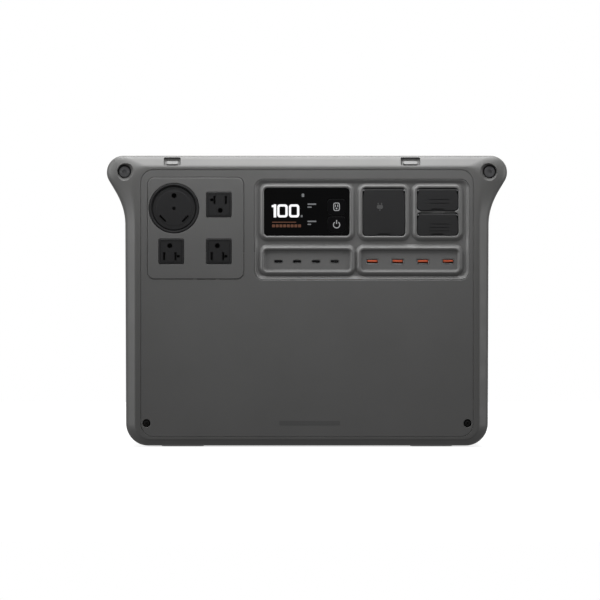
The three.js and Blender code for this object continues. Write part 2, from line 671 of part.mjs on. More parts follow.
/** Hinged cover that closes one window: a flat flap with a round upper edge bored for its pin. */
function portCover(opening) {
  const { y, z, r } = hingeOf(opening);
  const { side, notch, r: corner } = COVER;
  const [x0, x1, z0] = [opening.x0 + side, opening.x1 - side, opening.z0 + side];
  const middle = (x0 + x1) / 2;
  const outline = [
    ...arc(x1 - corner, z0 + corner, corner, -90, 0, 3),
    [x1, z - 6],
    [x1 - notch, z - 3.5],
    [x1 - notch, z],
    [x0 + notch, z],
    [x0 + notch, z - 3.5],
    [x0, z - 6],
    ...arc(x0 + corner, z0 + corner, corner, 180, 270, 3),
  ];
  const flap = alongY(outline, COVER.face, COVER.back);
  const edge = rodX(x0 + notch, x1 - notch, y, z, r, 16);
  const pull = block(
    middle - PULL.half, middle + PULL.half,
    COVER.face - CUT, COVER.face + PULL.deep,
    z0 - CUT, z0 + PULL.high,
  );
  return carve([flap, edge], [rodX(x0 - CUT, x1 + CUT, y, z, COVER.bore, 8), pull]);
}

function coverPin(opening) {
  const { y, z } = hingeOf(opening);
  return rodX(opening.x0 - 2.1, opening.x1 + 2.1, y, z, COVER.pin, 8);
}

function keyOutline(z, grow) {
  const [half, high] = [KEY.half + grow, KEY.high + grow];
  return roundedRect(KEY.x - half, KEY.x + half, z - high, z + high, KEY.r + grow, 3);
}

/** Glass over the display, open where the two keys stand. */
function displayWindow() {
  const glass = alongY(windowOutline(DISPLAY, -GAP), GLASS.face, GLASS.back);
  return carve([glass], KEY.zs.map((z) => alongY(keyOutline(z, 0.4), GLASS.face - CUT, GLASS.back + CUT)));
}

/** Push key: a cap in the glass with a guide stem behind it. */
function pushKey(z) {
  const cap = alongY(keyOutline(z, 0), GLASS.face, GLASS.back + 0.6);
  const stem = block(KEY.x - KEY.stem, KEY.x + KEY.stem, GLASS.back, KEY.back, z - KEY.stem, z + KEY.stem);
  return carve([cap, stem]);
}

function displayModule() {
  const { x0, x1, z0, z1, front, back, tail, inset } = MODULE;
  const body = block(x0, x1, front, back, z0, z1);
  const flange = block(x0 + inset, x1 - inset, back - CUT, tail, z0 + inset, z1 - inset);
  return carve([body, flange]);
}

/** Row of four small ports on one board. */
function usbCPorts() {
  const { xs, z, half, high, mouth, board } = USB_C_PORTS;
  const { thick, half: boardHalf } = BOARD;
  const sheet = block(USB_C.x0 + 3, USB_C.x1 - 3, board, board + thick, z - boardHalf, z + boardHalf);
  const oval = (x, wall, r) => {
    const [w, h] = [half - wall, high - wall];
    return roundedRect(x - w, x + w, z - h, z + h, r, 2);
  };
  const shells = xs.map((x) => alongY(oval(x, 0, 1.5), mouth, board + 0.2));
  const mouths = xs.map((x) => alongY(oval(x, 0.42, 1), mouth - CUT, mouth + 7.4));
  const tongues = xs.map((x) => block(x - 3.2, x + 3.2, mouth + 0.9, mouth + 7.9, z - 0.35, z + 0.35));
  return carve([carve([sheet, ...shells], mouths), ...tongues]);
}

/** Row of four large ports on one board; the shells are open at the back for their tongues. */
function usbAPorts() {
  const { xs, z, half, high, mouth, board } = USB_A_PORTS;
  const { thick, half: boardHalf } = BOARD;
  const wall = 0.5;
  const [w, h] = [half - wall, high - wall];
  const sheet = block(USB_A.x0 + 2, USB_A.x1 - 2, board, board + thick, z - boardHalf, z + boardHalf);
  const shells = xs.map((x) => block(x - half, x + half, mouth, board + 0.2, z - high, z + high));
  const mouths = xs.map((x) => block(x - w, x + w, mouth - CUT, board - 1, z - h, z + h));
  const channel = block(xs[0] - 3, xs[3] + 3, -96.4, board - 1, z - 1.8, z + 1.8);
  return carve([carve([sheet, ...shells], mouths)], [channel]);
}

/** The four coloured tongues of the large ports, carried by one rail behind them. */
function usbATongues() {
  const { xs, z } = USB_A_PORTS;
  const rail = block(xs[0] - 2, xs[3] + 2, -95.9, -93.5, z - 1.2, z + 1.2);
  return carve([rail, ...xs.map((x) => block(x - 5.4, x + 5.4, -107, -94, z - 0.2, z + 1.6))]);
}

/** Mains charging inlet: a moulded body with a deep recess and three flat pins, the middle one higher. */
function chargeInlet() {
  const { x0, x1, z0, z1 } = CHARGE;
  const { half, high, back, floor, tip, earth } = INLET;
  const [cx, cz] = [(x0 + x1) / 2, (z0 + z1) / 2];
  const body = alongY(windowOutline(CHARGE, -GAP), PORT_FRONT, back);
  const mouth = roundedRect(cx - half, cx + half, cz - high, cz + high, 3, 2);
  const recess = alongY(mouth, PORT_FRONT - CUT, floor);
  const pins = INLET.pins.map((x) => {
    const z = cz + (x === 0 ? earth : -earth);
    return block(cx + x - 1, cx + x + 1, tip, floor + CUT, z - 4, z + 4);
  });
  return carve([carve([body], [recess]), ...pins]);
}

/** Direct-current port: a moulded body with a recess and two round pins. */
function dcPort(opening) {
  const { x0, x1, z0, z1 } = opening;
  const { half, high, back, floor, tip, r } = DC_PORT;
  const [cx, cz] = [(x0 + x1) / 2, (z0 + z1) / 2];
  const body = alongY(windowOutline(opening, -GAP), PORT_FRONT, back);
  const mouth = roundedRect(cx - half, cx + half, cz - high, cz + high, 3, 2);
  const recess = alongY(mouth, PORT_FRONT - CUT, floor);
  const pins = DC_PORT.pins.map((x) => rodY(cx + x, cz, tip, floor + CUT, r, 10));
  return carve([carve([body], [recess]), ...pins]);
}

function controlBoard() {
  const board = block(-52, 52, -90, -88.4, 192, 292);
  const parts = [
    block(-30, -8, -88.6, -85, 250, 272),
    block(10, 40, -88.6, -82, 200, 216),
    block(-40, -20, -88.6, -84, 205, 225),
    block(20, 36, -88.6, -80, 245, 280),
  ];
  return carve([board, ...parts]);
}

function portGroup() {
  const group = new THREE.Group();
  group.add(piece('port_bezel', portBezel(), 'casePlastic'));
  group.add(piece('display_window', displayWindow(), 'displayGlass'));
  group.add(piece('display_module', displayModule(), 'socketPlastic'));
  group.add(piece('ac_key', pushKey(KEY.zs[0]), 'keyPlastic'));
  group.add(piece('power_key', pushKey(KEY.zs[1]), 'keyPlastic'));
  group.add(piece('usb_c_ports', usbCPorts(), 'steel'));
  group.add(piece('usb_a_ports', usbAPorts(), 'steel'));
  group.add(piece('usb_a_tongues', usbATongues(), 'orangePlastic'));
  group.add(piece('charge_inlet', chargeInlet(), 'socketPlastic'));
  group.add(piece('dc_port_upper', dcPort(DC_UPPER), 'socketPlastic'));
  group.add(piece('dc_port_lower', dcPort(DC_LOWER), 'socketPlastic'));
  const covers = { charge_cover: CHARGE, dc_cover_upper: DC_UPPER, dc_cover_lower: DC_LOWER };
  Object.entries(covers).forEach(([name, opening]) => {
    group.add(piece(name, portCover(opening), 'coverRubber'));
    group.add(piece(`${name}_pin`, coverPin(opening), 'steel'));
  });
  group.add(piece('control_board', controlBoard(), 'boardGreen'));
  return group;
}

// ---------------------------------------------------------------- battery and electronics

/** Block of flat cells side by side, grooved between the cells, with its busbars on top. */
function batteryBlock() {
  const { count, pitch, half, z0, z1, groove, relief } = CELL;
  const wide = count * pitch;
  const upper = [];
  const lower = [];
  for (let i = 1; i < count; i += 1) {
    const x = i * pitch;
    const [a, b] = [x - groove / 2, x + groove / 2];
    lower.push([a, z0], [x, z0 + relief], [b, z0]);
    upper.unshift([b, z1], [x, z1 - relief], [a, z1]);
  }
  const outline = [[0, z0], ...lower, [wide, z0], [wide, z1], ...upper, [0, z1]];
  const bars = [];
  for (let i = 0; i < count; i += 1) {
    const y = i % 2 ? 52 : -52;
    bars.push(block(i * pitch + 5, Math.min(i * pitch + 39, wide - 4), y - 9, y + 9, z1 - 0.5, z1 + 2));
  }
  return carve([alongY(outline, -half, half), ...bars]);
}

/** Sheet cradle that holds both blocks between its end walls. */
function batteryCradle() {
  const outline = [
    [-182, 8], [182, 8], [182, 70], [180.2, 70], [180.2, 10], [-180.2, 10], [-180.2, 70], [-182, 70],
  ];
  return alongY(outline, -78, 78);
}

function batteryBoard() {
  const board = block(-150, 150, -30, 30, 133.4, 135);
  const parts = [-120, -80, -40, 0, 40].map((x) => block(x, x + 22, -16, 6, 134.5, 139));
  const terminal = block(-8, 8, 14, 25.7, 134.5, 144);
  return carve([board, block(90, 126, -22, 22, 134.5, 141), ...parts, terminal]);
}

/** Bridge over the battery that carries the electronics, with a leg down each side. */
function electronicsDeck() {
  const { half, z, sheet, front, back } = DECK;
  const outline = [
    [-half, 16], [-half + sheet, 16], [-half + sheet, z], [half - sheet, z], [half - sheet, 16], [half, 16],
    [half, z + sheet], [-half, z + sheet],
  ];
  return alongY(outline, front, back);
}

/** Inverter board with its tall capacitors, relays and terminal block. */
function inverterBoard() {
  const { half, front, back, z, thick } = INVERTER;
  const board = block(-half, half, front, back, z, z + thick);
  const cans = [-140, -114, -88, -62].map((x) => rodZ(x, -52, z + 1, z + 40, 11, 14));
  const relays = [92, 116, 140].map((x) => block(x - 9, x + 9, -62, -30, z + 1, z + 24));
  const deckTop = DECK.z + DECK.sheet + GAP;
  const corners = [[-150, -60], [150, -60], [-150, 66], [150, 66]];
  const standoffs = corners.map(([x, y]) => rodZ(x, y, deckTop, z + 1, 4, 8));
  const terminals = block(-12, 12, 66, 76, z + 1, z + 13);
  return carve([board, ...cans, ...relays, ...standoffs, terminals]);
}

/** Ferrite core with its windings. */
function transformer() {
  const z = INVERTER.z + INVERTER.thick + GAP;
  const core = block(0, 62, -64, -18, z + 6, z + 46);
  const winding = block(12, 50, -68, -14, z, z + 52);
  const windows = [[-CUT, 6], [56, 62 + CUT]].map(([x0, x1]) => block(x0, x1, -50, -32, z + 18, z + 34));
  return carve([core, winding], windows);
}

/** Finned heatsink, with its fins along the way the air goes. */
function heatsink() {
  const { half, front, fins, pitch, fin, base, z, high } = HEATSINK;
  const outline = [[front, z], [front + (fins - 1) * pitch + fin, z]];
  for (let i = fins - 1; i >= 0; i -= 1) {
    const y = front + i * pitch;
    outline.push([y + fin, z + high], [y, z + high]);
    if (i > 0) {
      outline.push([y, z + base], [y - pitch + fin, z + base]);
    }
  }
  const feet = [-110, 102].map((x) => block(x, x + 8, front + 4, front + 66, z - 3.7, z + 1));
  return carve([alongX(outline, -half, half), ...feet]);
}

/** Fan housing about the X axis, with its motor post and arms on the inner side. */
function fanFrame() {
  const { half, depth, bore, hub } = FAN;
  const d = depth / 2;
  const frame = block(-d, d, -half, half, -half, half);
  const tunnel = rodX(-d - CUT, d + CUT, 0, 0, bore, 32);
  const arms = [0, 90].map((turn) => {
    const arm = block(-d, -d + 3, -bore - 1, bore + 1, -2.5, 2.5);
    return arm.rotateX(THREE.MathUtils.degToRad(turn + 45));
  });
  const seat = rodX(-d, -d + 3, 0, 0, hub, 20);
  const post = rodX(-d, d - 6, 0, 0, 4, 10);
  return carve([carve([frame], [tunnel]), ...arms, seat, post]);
}

/** Fan rotor: a cup with pitched blades, running on the motor post. */
function fanRotor() {
  const { depth, bore, hub, blades } = FAN;
  const d = depth / 2;
  const cup = rodX(-d + 4, d - 1.5, 0, 0, hub, 20);
  const bladeSet = [];
  for (let i = 0; i < blades; i += 1) {
    const blade = new THREE.BoxGeometry(1.8, 22, bore - hub - 0.5);
    blade.rotateZ(THREE.MathUtils.degToRad(52));
    blade.translate(0.8, 0, hub - 1 + (bore - hub - 0.5) / 2);
    blade.rotateX((i * 2 * Math.PI) / blades);
    bladeSet.push(blade);
  }
  return carve([cup, ...bladeSet], [rodX(-d, d - 5.4, 0, 0, 4.6, 10)]);
}

/** Battery cable from the battery board, round the back of the deck, up to the inverter board. */
function batteryCable() {
  const route = new THREE.CatmullRomCurve3([
    new THREE.Vector3(0, 26, 139),
    new THREE.Vector3(0, 50, 139.5),
    new THREE.Vector3(0, 76, 139.5),
    new THREE.Vector3(0, 88, 146),
    new THREE.Vector3(0, 88, 154),
    new THREE.Vector3(0, 84, 160),
    new THREE.Vector3(0, 76.4, 161),
  ]);
  const section = new THREE.Shape(arc(0, 0, 3.2, 0, 315, 7).map(([a, b]) => new THREE.Vector2(a, b)));
  return new THREE.ExtrudeGeometry(section, { steps: 24, extrudePath: route, bevelEnabled: false });
}

function insideGroup() {
  const group = new THREE.Group();
  group.add(piece('battery_cradle', batteryCradle(), 'aluminium'));
  [['left', -2 - CELL.count * CELL.pitch], ['right', 2]].forEach(([side, x]) => {
    const cells = piece(`battery_block_${side}`, batteryBlock(), 'cellCase');
    cells.position.x = x;
    group.add(cells);
  });
  group.add(piece('battery_board', batteryBoard(), 'boardGreen'));
  group.add(piece('electronics_deck', electronicsDeck(), 'aluminium'));
  group.add(piece('inverter_board', inverterBoard(), 'boardGreen'));
  group.add(piece('transformer', transformer(), 'copper'));
  group.add(piece('heatsink', heatsink(), 'aluminium'));
  group.add(piece('battery_cable', batteryCable(), 'cableRubber'));
  [['left', Math.PI], ['right', 0]].forEach(([side, turn]) => {
    const fan = new THREE.Group();
    fan.add(piece(`fan_frame_${side}`, fanFrame(), 'fanPlastic'));
    fan.add(piece(`fan_rotor_${side}`, fanRotor(), 'fanPlastic'));
    fan.rotation.z = turn;
    fan.position.set(turn ? -FAN.x : FAN.x, FAN.y, FAN.z);
    group.add(fan);
  });
  return group;
}

// ---------------------------------------------------------------- the power station

const station = new THREE.Group();
station.add(caseGroup(), fastenerGroup(), socketGroup(), portGroup(), insideGroup());

export default station;
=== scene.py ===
"""Looks of the portable power station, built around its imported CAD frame."""

import json
import math

import bmesh
import bpy
from mathutils import Matrix, Vector


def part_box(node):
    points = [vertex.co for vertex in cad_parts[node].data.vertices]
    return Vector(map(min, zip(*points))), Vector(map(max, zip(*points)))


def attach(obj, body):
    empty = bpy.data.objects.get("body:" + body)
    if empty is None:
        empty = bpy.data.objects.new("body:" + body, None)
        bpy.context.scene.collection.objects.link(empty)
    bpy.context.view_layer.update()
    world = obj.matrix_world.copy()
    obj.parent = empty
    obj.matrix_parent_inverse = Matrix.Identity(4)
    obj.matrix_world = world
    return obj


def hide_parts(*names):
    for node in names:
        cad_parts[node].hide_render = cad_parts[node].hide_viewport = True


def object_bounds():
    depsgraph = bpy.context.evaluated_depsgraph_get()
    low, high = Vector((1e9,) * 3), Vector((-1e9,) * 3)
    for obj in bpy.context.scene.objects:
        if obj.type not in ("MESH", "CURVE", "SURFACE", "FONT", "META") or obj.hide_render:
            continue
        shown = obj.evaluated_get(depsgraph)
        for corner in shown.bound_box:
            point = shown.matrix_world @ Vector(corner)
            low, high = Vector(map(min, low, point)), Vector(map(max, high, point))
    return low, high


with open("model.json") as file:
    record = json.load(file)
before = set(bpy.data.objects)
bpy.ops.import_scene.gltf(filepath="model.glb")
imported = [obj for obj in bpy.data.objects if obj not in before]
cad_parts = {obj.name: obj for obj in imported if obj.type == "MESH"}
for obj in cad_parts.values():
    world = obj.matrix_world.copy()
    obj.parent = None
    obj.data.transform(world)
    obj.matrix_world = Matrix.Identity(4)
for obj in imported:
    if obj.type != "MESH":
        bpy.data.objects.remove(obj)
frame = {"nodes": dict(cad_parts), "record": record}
CAD_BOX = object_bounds()
MM = 0.001
GAP = 0.3  # seam between touching pieces, in millimetres as all the sizes below are


# ------------------------------------------------------------------ sizes taken from the frame

def size_of(node):
    """Lowest and highest corner of a CAD node in millimetres."""
    low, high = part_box(node)
    return [v / MM for v in low], [v / MM for v in high]


def front_rect(node, grow=0.0):
    """The x and z sides of a node as (x0, x1, z0, z1)."""
    low, high = size_of(node)
    return low[0] - grow, high[0] + grow, low[2] - grow, high[2] + grow


FRAME_LOW, FRAME_HIGH = size_of("front_frame")
FRAME_FACE = -FRAME_LOW[1]
FRAME_INNER = -FRAME_HIGH[1]
CASE_BOTTOM = FRAME_LOW[2]
TOP = FRAME_HIGH[2]
BODY_HALF = 202.5
CORNER = 25.0
FRAME_SHOULDER = 100.0
EDGE_HALF = 190.5
EDGE_BOTTOM = 9.5
EDGE_TOP = 311.8
EDGE_RADIUS = 18.0
EDGE_LOW_RADIUS = 16.0
EAR_R = 18.5
EAR = (FRAME_HIGH[0] - EAR_R + 0.1, TOP - EAR_R)
EAR_FOOT = 250.0
POCKET_X, POCKET_LOW, POCKET_HIGH = 172.0, 236.0, 262.0
WALL = 3.0
PANEL_R = 15.0
PANEL_SEAT = 106.0
SIDE_STEPS, NOSE_STEPS, CORNER_STEPS = 14, 22, 14


# ------------------------------------------------------------------ outlines

def arc(cx, cz, r, start, end, steps):
    turns = [math.radians(start + (end - start) * i / steps) for i in range(steps + 1)]
    return [(cx + r * math.cos(t), cz + r * math.sin(t)) for t in turns]


def rounded(rect, r, steps=8):
    """Outline function of a rounded rectangle: grow in, counter-clockwise points out."""
    x0, x1, z0, z1 = rect

    def outline(grow=0.0):
        a, b, c, d = x0 - grow, x1 + grow, z0 - grow, z1 + grow
        q = max(r + grow, 0.05)
        return (
            arc(b - q, c + q, q, -90, 0, steps) + arc(b - q, d - q, q, 0, 90, steps)
            + arc(a + q, d - q, q, 90, 180, steps) + arc(a + q, c + q, q, 180, 270, steps)
        )

    return outline


def pad(cx, cz, half_wide, half_high, r, steps):
    """Outline function of a rounded rectangle round its middle."""
    return rounded((cx - half_wide, cx + half_wide, cz - half_high, cz + half_high), r, steps)


def circle(cx, cz, r, steps=48):
    return lambda grow=0.0: arc(cx, cz, r + grow, 0, 360, steps)[:-1]


def slot_outline(cx, cz, wide, high, turn=0.0, r=0.5, steps=4):
    """Outline function of a rounded slot, turned about its middle."""
    base = rounded((-wide / 2, wide / 2, -high / 2, high / 2), r, steps)
    c, s = math.cos(math.radians(turn)), math.sin(math.radians(turn))
    return lambda grow=0.0: [(cx + c * x - s * z, cz + s * x + c * z) for x, z in base(grow)]


def freeform(points):
    """Outline function of any smooth counter-clockwise outline, grown along its normals."""
    def outline(grow=0.0):
        made = []
        count = len(points)
        for i, (x, z) in enumerate(points):
            before, after = points[i - 1], points[(i + 1) % count]
            a = Vector((x - before[0], z - before[1])).normalized()
            b = Vector((after[0] - x, after[1] - z)).normalized()
            n = Vector((a.y + b.y, -a.x - b.x))
            scale = 2.0 / max(n.length_squared, 1.0)
            made.append((x + n.x * grow * scale, z + n.y * grow * scale))
        return made

    return outline


def mirrored(half):
    return half + [(-x, z) for x, z in reversed(half)]


def silhouette():
    """Case outline with its flared handle ears."""
    nose = arc(EAR[0], EAR[1], EAR_R, -30, 90, NOSE_STEPS)
    tip = nose[0]
    p = [(BODY_HALF + 0.9, EAR_FOOT), (BODY_HALF + 1.4, EAR_FOOT + 22), (tip[0] - 7, tip[1] - 12.1), tip]
    sweep = []
    for i in range(SIDE_STEPS):
        t = i / SIDE_STEPS
        w = [(1 - t) ** 3, 3 * t * (1 - t) ** 2, 3 * t * t * (1 - t), t ** 3]
        sweep.append(tuple(sum(w[k] * p[k][axis] for k in range(4)) for axis in range(2)))
    foot = arc(BODY_HALF - CORNER, CASE_BOTTOM + CORNER, CORNER, -90, 0, CORNER_STEPS)
    return mirrored(foot + sweep + nose)


def ring_outline(half, bottom, top, low_r, high_r):
    """Rounded outline matched point for point to the silhouette."""
    side_top = top - high_r
    side = [(half, EAR_FOOT + (side_top - EAR_FOOT) * i / SIDE_STEPS) for i in range(SIDE_STEPS)]
    foot = arc(half - low_r, bottom + low_r, low_r, -90, 0, CORNER_STEPS)
    return mirrored(foot + side + arc(half - high_r, side_top, high_r, 0, 90, NOSE_STEPS))


def hollow_outline():
    """Inner edge of an end frame, matched point for point to the silhouette."""
    half, top = 200.5 - WALL, TOP - 6
    foot = arc(half - 20, 26, 20, -90, 0, CORNER_STEPS)
    side = []
    for i in range(SIDE_STEPS):
        t = i / SIDE_STEPS
        side.append((half + (POCKET_X - half) * t, POCKET_LOW + (POCKET_HIGH - POCKET_LOW) * t))
    rise = [(POCKET_X, POCKET_HIGH + (top - POCKET_HIGH) * i / NOSE_STEPS) for i in range(NOSE_STEPS + 1)]
    return mirrored(foot + side + rise)


def between(a, b, t):
    return [(p[0] + (q[0] - p[0]) * t, p[1] + (q[1] - p[1]) * t) for p, q in zip(a, b)]


# ------------------------------------------------------------------ faces of the case

def front(u, v, w):
    return Vector((u, -w, v)) * MM


def rear(u, v, w):
    return Vector((-u, w, v)) * MM


def right(u, v, w):
    return Vector((w, u, v)) * MM


def left(u, v, w):
    return Vector((-w, -u, v)) * MM


def above(u, v, w):
    return Vector((u, v, w)) * MM


def below(u, v, w):
    return Vector((u, -v, -w)) * MM


# ------------------------------------------------------------------ mesh building

def finish_mesh(name, bm, sharp=32.0):
    bmesh.ops.remove_doubles(bm, verts=bm.verts, dist=1e-7)
    bmesh.ops.recalc_face_normals(bm, faces=bm.faces)
    mesh = bpy.data.meshes.new(name)
    bm.to_mesh(mesh)
    bm.free()
    obj = bpy.data.objects.new(name, mesh)
    bpy.context.scene.collection.objects.link(obj)
    smooth(obj, sharp)
    return obj


def smooth(obj, sharp=32.0):
    obj.data.shade_smooth()
    obj.data.set_sharp_from_angle(angle=math.radians(sharp))


def strip(bm, a, b):
    """Quads between two closed rings of equal count."""
    count = len(a)
    for i in range(count):
        j = (i + 1) % count
        bm.faces.new((a[i], a[j], b[j], b[i]))


def ring(bm, place, points, w):
    return [bm.verts.new(place(u, v, w)) for u, v in points]


def cap(bm, rings):
    """Flat fill between an outer ring and the rings inside it."""
    edges = []
    for verts in rings:
        for i in range(len(verts)):
            pair = (verts[i], verts[(i + 1) % len(verts)])
            edges.append(bm.edges.get(pair) or bm.edges.new(pair))
    bmesh.ops.triangle_fill(bm, use_beauty=True, use_dissolve=False, edges=edges)


def add_plate(bm, place, loops, top, base, under=0.0, steps=5):
    """Plate from top down to base. loops is [(outline, fillet), ...], the outer one first, then the holes."""
    tops, bases = [], []
    for index, (outline, fillet) in enumerate(loops):
        sign = -1 if index == 0 else 1
        rings = []
        for k in range(steps + 1):
            turn = math.radians(90 * k / steps)
            grow = sign * fillet * (1 - math.sin(turn))
            rings.append(ring(bm, place, outline(grow), top - fillet * (1 - math.cos(turn))))
            if fillet == 0:
                break
        if under:
            rings.append(ring(bm, place, outline(0.0), base + under))
            rings.append(ring(bm, place, outline(sign * under), base))
        else:
            rings.append(ring(bm, place, outline(0.0), base))
        for a, b in zip(rings, rings[1:]):
            strip(bm, a, b)
        tops.append(rings[0])
        bases.append(rings[-1])
    cap(bm, tops)
    cap(bm, bases)


def plate(name, place, loops, top, base, under=0.0, steps=5):
    bm = bmesh.new()
    add_plate(bm, place, loops, top, base, under, steps)
    return finish_mesh(name, bm)


def lathe(bm, place, cx, cz, profile, steps=40):
    """Solid of revolution about the line through (cx, cz) along w.

    profile is [(radius, w), ...] from axis to axis.
    """
    rings = [ring(bm, place, circle(cx, cz, r, steps)(), w) for r, w in profile if r > 0]
    for a, b in zip(rings, rings[1:]):
        strip(bm, a, b)
    for end, w in ((rings[0], profile[0][1]), (rings[-1], profile[-1][1])):
        tip = bm.verts.new(place(cx, cz, w))
        for i in range(steps):
            bm.faces.new((end[i], end[(i + 1) % steps], tip))


def turned_piece(name, place, cx, cz, profile, steps=40):
    """Solid of revolution as an object of its own."""
    bm = bmesh.new()
    lathe(bm, place, cx, cz, profile, steps)
    return finish_mesh(name, bm)


def bake_modifiers(obj):
    """Applies an object's modifiers to its mesh."""
    graph = bpy.context.evaluated_depsgraph_get()
    mesh = bpy.data.meshes.new_from_object(obj.evaluated_get(graph))
    obj.modifiers.clear()
    obj.data = mesh
    return obj


def cut(obj, cutters, mode="DIFFERENCE"):
    for cutter in cutters:
        mod = obj.modifiers.new("cut", "BOOLEAN")
        mod.operation = mode
        mod.solver = "EXACT"
        mod.object = cutter
    bake_modifiers(obj)
    for cutter in cutters:
        bpy.data.objects.remove(cutter)
    smooth(obj)
    return obj


def level_faces(obj):
    """Keeps large flat faces flat under smooth shading."""
    mod = obj.modifiers.new("normals", "WEIGHTED_NORMAL")
    mod.keep_sharp = True
    mod.weight = 90


def made(obj, slot, nodes=(), body="case", finish=None):
    """Attaches a finished piece to its body, hides the CAD nodes that it stands for, and gives it its
    material.

    The material is the slot's own, unless finish gives another.
    """
    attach(obj, body)
    if nodes:
        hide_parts(*nodes)
    obj.data.materials.clear()
    obj.data.materials.append(finish or MATERIALS[slot])
    level_faces(obj)
    return obj


# ------------------------------------------------------------------ materials

def material(name):
    mat = bpy.data.materials.new(name)
    mat.use_nodes = True
    tree = mat.node_tree
    return mat, tree, tree.nodes["Principled BSDF"]


def node(tree, kind, **values):
    made_node = tree.nodes.new(kind)
    for key, value in values.items():
        if key in made_node.inputs:
            made_node.inputs[key].default_value = value
        else:
            setattr(made_node, key, value)
    return made_node


def noise(tree, scale, detail=3.0, roughness=0.55):
    coords = node(tree, "ShaderNodeTexCoord")
    tex = node(tree, "ShaderNodeTexNoise", Scale=scale, Detail=detail, Roughness=roughness)
    tree.links.new(coords.outputs["Object"], tex.inputs["Vector"])
    return tex.outputs["Fac"]


def ramp(tree, source, low, high, start=0.35, end=0.65):
    """Colours from low to high as source goes from start to end."""
    mix = node(tree, "ShaderNodeValToRGB")
    mix.color_ramp.elements[0].position = start
    mix.color_ramp.elements[1].position = end
    mix.color_ramp.elements[0].color = (*low, 1)
    mix.color_ramp.elements[1].color = (*high, 1)
    tree.links.new(source, mix.inputs["Fac"])
    return mix.outputs["Color"]


def remap(tree, source, low, high):
    span = node(tree, "ShaderNodeMapRange")
    span.inputs["From Min"].default_value = 0.3
    span.inputs["From Max"].default_value = 0.7
    span.inputs["To Min"].default_value = low
    span.inputs["To Max"].default_value = high
    tree.links.new(source, span.inputs["Value"])
    return span.outputs["Result"]


def bump(tree, shader, height, strength, distance):
    made_node = node(tree, "ShaderNodeBump", Strength=strength, Distance=distance)
    tree.links.new(height, made_node.inputs["Height"])
    tree.links.new(made_node.outputs["Normal"], shader.inputs["Normal"])


def moulded(name, colour, rough, grain=1400.0, depth=0.00006, spread=0.035, specular=0.5, metallic=0.0):
    """Moulded surface: fine grain, a slow drift of shade, and patches of slightly other gloss."""
    mat, tree, shader = material(name)
    low = tuple(c * (1 - spread) for c in colour)
    high = tuple(c * (1 + spread) for c in colour)
    tree.links.new(ramp(tree, noise(tree, 14.0, 4.0), low, high), shader.inputs["Base Color"])
    patches = remap(tree, noise(tree, 60.0, 5.0), rough - 0.03, rough + 0.03)
    tree.links.new(patches, shader.inputs["Roughness"])
    bump(tree, shader, noise(tree, grain, 2.0), 0.35, depth)
    shader.inputs["Specular IOR Level"].default_value = specular
    shader.inputs["Metallic"].default_value = metallic
    return mat


def lit(name, colour, strength):
    """Lit sign on the display, slightly uneven as a printed light guide is."""
    mat, tree, shader = material(name)
    low = tuple(c * 0.86 for c in colour)
    tree.links.new(ramp(tree, noise(tree, 300.0), low, colour), shader.inputs["Emission Color"])
    shader.inputs["Emission Strength"].default_value = strength
    shader.inputs["Base Color"].default_value = (*[c * 0.2 for c in colour], 1)
    shader.inputs["Roughness"].default_value = 0.4
    return mat


def gloss(name, colour, rough):
    """Black gloss plastic with faint smears."""
    mat, tree, shader = material(name)
    high = tuple(c * 1.8 for c in colour)
    tree.links.new(ramp(tree, noise(tree, 25.0, 5.0), colour, high), shader.inputs["Base Color"])
    tree.links.new(remap(tree, noise(tree, 40.0, 6.0), rough, rough + 0.08), shader.inputs["Roughness"])
    shader.inputs["Specular IOR Level"].default_value = 0.12
    return mat


def brushed(name, colour, rough):
    """Metal with a fine brushed grain along X."""
    mat, tree, shader = material(name)
    coords = node(tree, "ShaderNodeTexCoord")
    stretch = node(tree, "ShaderNodeMapping")
    stretch.inputs["Scale"].default_value = (40.0, 900.0, 900.0)
    tex = node(tree, "ShaderNodeTexNoise", Scale=1.0, Detail=4.0)
    tree.links.new(coords.outputs["Object"], stretch.inputs["Vector"])
    tree.links.new(stretch.outputs["Vector"], tex.inputs["Vector"])
    low = tuple(c * 0.85 for c in colour)
    tree.links.new(ramp(tree, tex.outputs["Fac"], low, colour), shader.inputs["Base Color"])
    tree.links.new(remap(tree, tex.outputs["Fac"], rough - 0.08, rough + 0.08), shader.inputs["Roughness"])
    bump(tree, shader, tex.outputs["Fac"], 0.2, 0.00004)
    shader.inputs["Metallic"].default_value = 1.0
    return mat


def board(name):
    """Circuit board: green lacquer over a fine net of tracks."""
    mat, tree, shader = material(name)
    coords = node(tree, "ShaderNodeTexCoord")
    cells = node(tree, "ShaderNodeTexVoronoi", Scale=260.0)
    cells.distance = "CHEBYCHEV"
    tree.links.new(coords.outputs["Object"], cells.inputs["Vector"])
    colours = ramp(tree, cells.outputs["Distance"], (0.05, 0.16, 0.06), (0.012, 0.07, 0.03), 0.1, 0.3)
    tree.links.new(colours, shader.inputs["Base Color"])
    shader.inputs["Roughness"].default_value = 0.35
    return mat


